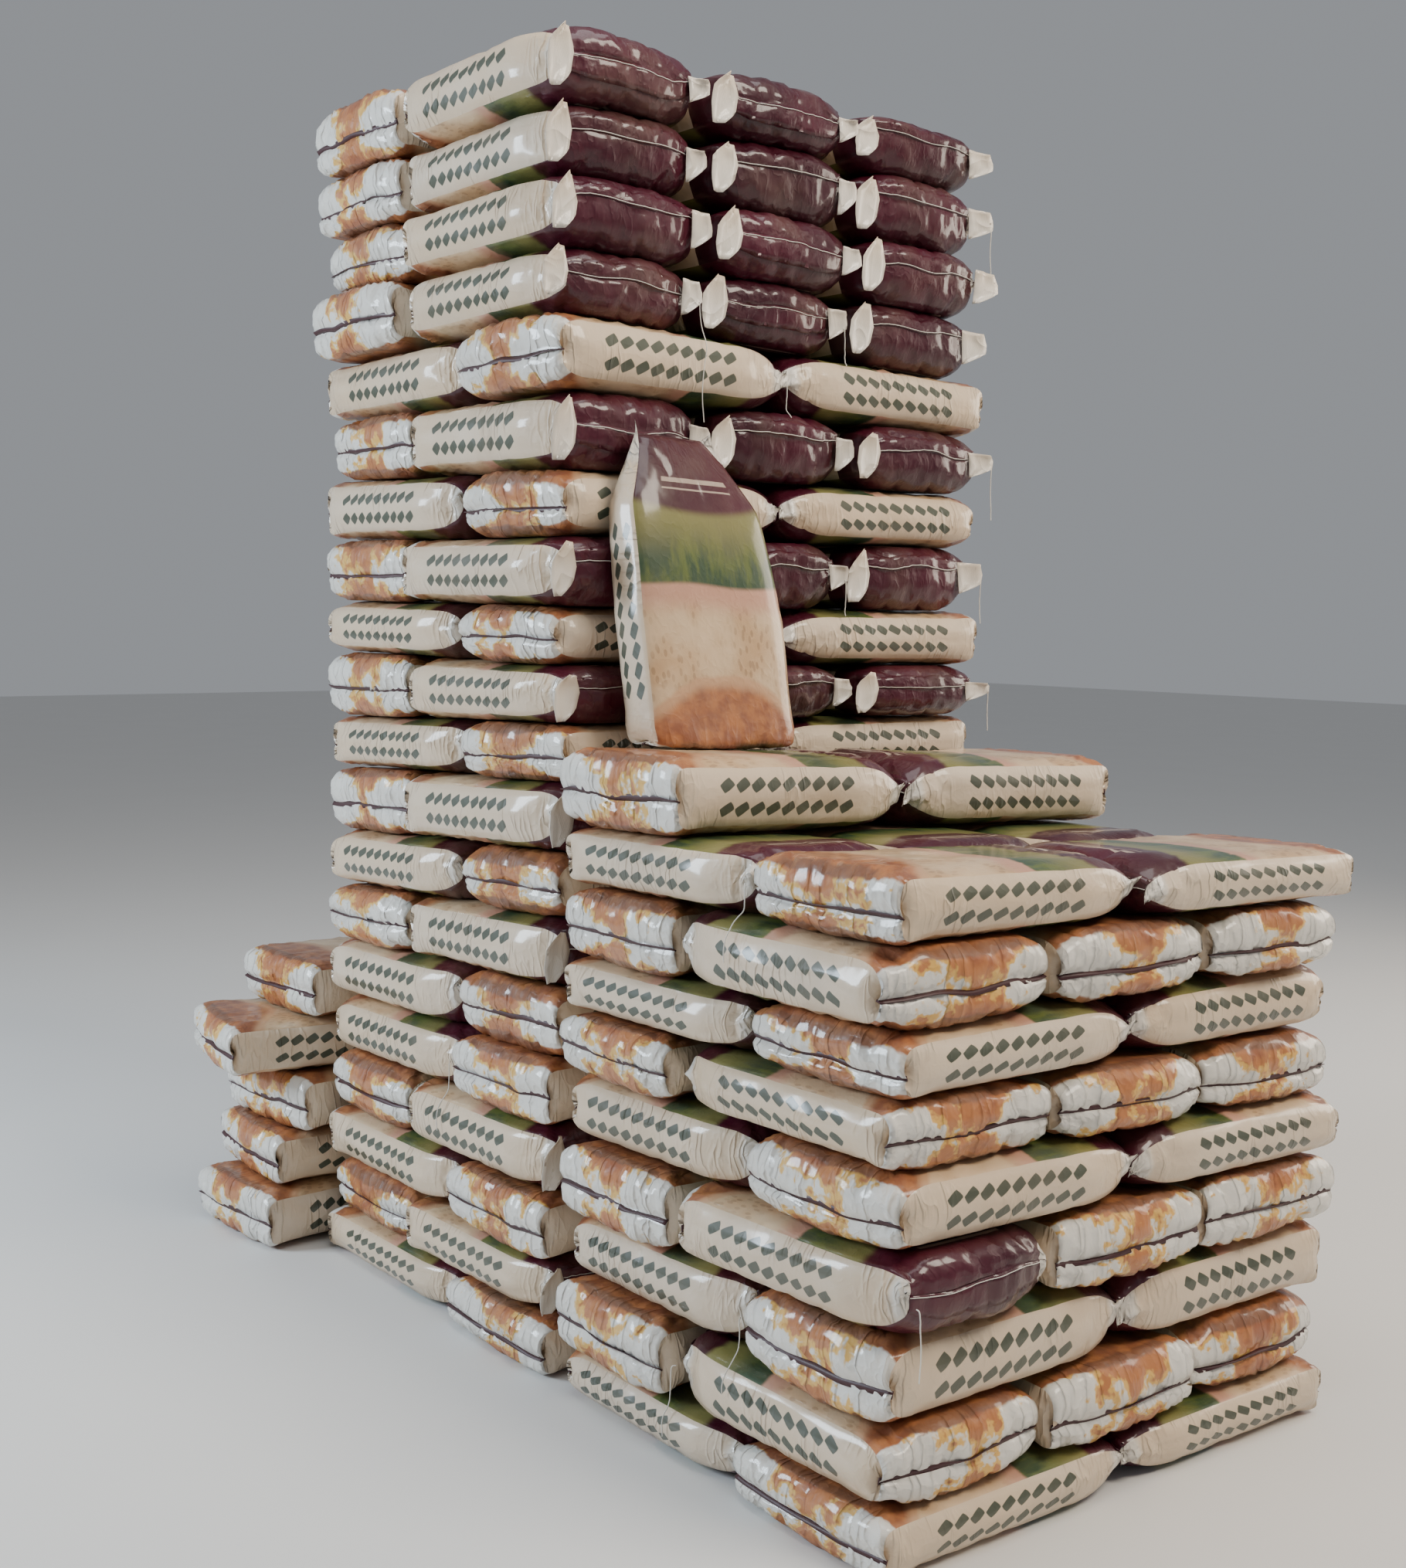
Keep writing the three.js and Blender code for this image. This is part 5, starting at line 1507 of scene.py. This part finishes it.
class SACKS_OT_stage(bpy.types.Operator):
    """Lay the floor and set the lights and the camera"""

    bl_idname = "sacks.stage"
    bl_label = "Floor, lights and camera"
    bl_options = {"REGISTER", "UNDO"}

    def execute(self, context):
        settings = context.scene.stage_settings
        bpy.ops.object.select_all(action="DESELECT")
        bpy.ops.mesh.primitive_plane_add(size=settings.floor_size, location=(0, 0, -0.0005))
        floor = context.active_object
        floor.name = "plain_floor"
        bpy.ops.object.transform_apply(location=True, rotation=False, scale=False)
        calc = Calc("plain_floor")
        rough = calc.noise(calc.place(), 1.5, 3.0) * 0.2 + 0.45
        floor.data.materials.append(calc.finish(Base_Color=(*settings.floor, 1.0), Roughness=rough))

        world = bpy.data.worlds.new("studio")
        context.scene.world = world
        world.use_nodes = True
        room = world.node_tree.nodes["Background"]
        room.inputs[0].default_value = ROOM_COLOUR
        room.inputs[1].default_value = ROOM_STRENGTH
        for lamp in LAMPS:
            area_light(*lamp)

        camera = bpy.data.cameras.new("photo_view")
        camera.lens = settings.lens
        camera.sensor_width = 36
        camera.clip_end = 200
        view = bpy.data.objects.new("photo_view", camera)
        azimuth, pitch, roll = (math.radians(a) for a in (CAMERA_AZIMUTH, CAMERA_PITCH, CAMERA_ROLL))
        ahead = Vector((math.sin(azimuth) * math.cos(pitch), math.cos(azimuth) * math.cos(pitch), -math.sin(pitch)))
        level_right = Vector((math.cos(azimuth), -math.sin(azimuth), 0))
        level_up = level_right.cross(ahead)
        right = math.cos(roll) * level_right + math.sin(roll) * level_up
        up = -math.sin(roll) * level_right + math.cos(roll) * level_up
        turned = Matrix((right, up, -ahead)).transposed().to_4x4()
        view.matrix_world = Matrix.Translation(CAMERA_PLACE) @ turned
        context.scene.collection.objects.link(view)
        context.scene.camera = view
        return {"FINISHED"}


class SACKS_PT_stack(bpy.types.Panel):
    """The steps that build the stack, in their order"""

    bl_idname = "SACKS_PT_stack"
    bl_label = "Stack of filled sacks"
    bl_space_type = "VIEW_3D"
    bl_region_type = "UI"
    bl_category = "Sacks"

    def draw(self, context):
        layout = self.layout
        for group in (context.scene.film_settings, context.scene.sack_settings, context.scene.stage_settings):
            box = layout.box()
            for name in group.__annotations__:
                box.prop(group, name)
        for operator in STEPS:
            layout.operator(operator.bl_idname)


STEPS = (
    SACKS_OT_stage, SACKS_OT_threads, SACKS_OT_block, SACKS_OT_step, SACKS_OT_standing, SACKS_OT_tower,
    SACKS_OT_rear,
)
GROUPS = (("film_settings", FilmSettings), ("sack_settings", SackSettings), ("stage_settings", StageSettings))


def register():
    """Adds the settings, the operators and the panel."""
    for name, group in GROUPS:
        bpy.utils.register_class(group)
        setattr(bpy.types.Scene, name, PointerProperty(type=group))
    for kind in (*STEPS, SACKS_PT_stack):
        bpy.utils.register_class(kind)


def unregister():
    """Takes them away again."""
    for kind in (SACKS_PT_stack, *reversed(STEPS)):
        bpy.utils.unregister_class(kind)
    for name, group in reversed(GROUPS):
        delattr(bpy.types.Scene, name)
        bpy.utils.unregister_class(group)


def main():
    """Builds the whole stack."""
    register()
    bpy.ops.sacks.stage()
    bpy.ops.sacks.threads()
    bpy.ops.sacks.block()
    bpy.ops.sacks.step()
    bpy.ops.sacks.standing()
    bpy.ops.sacks.tower()
    bpy.ops.sacks.rear()


if __name__ == "__main__":
    main()
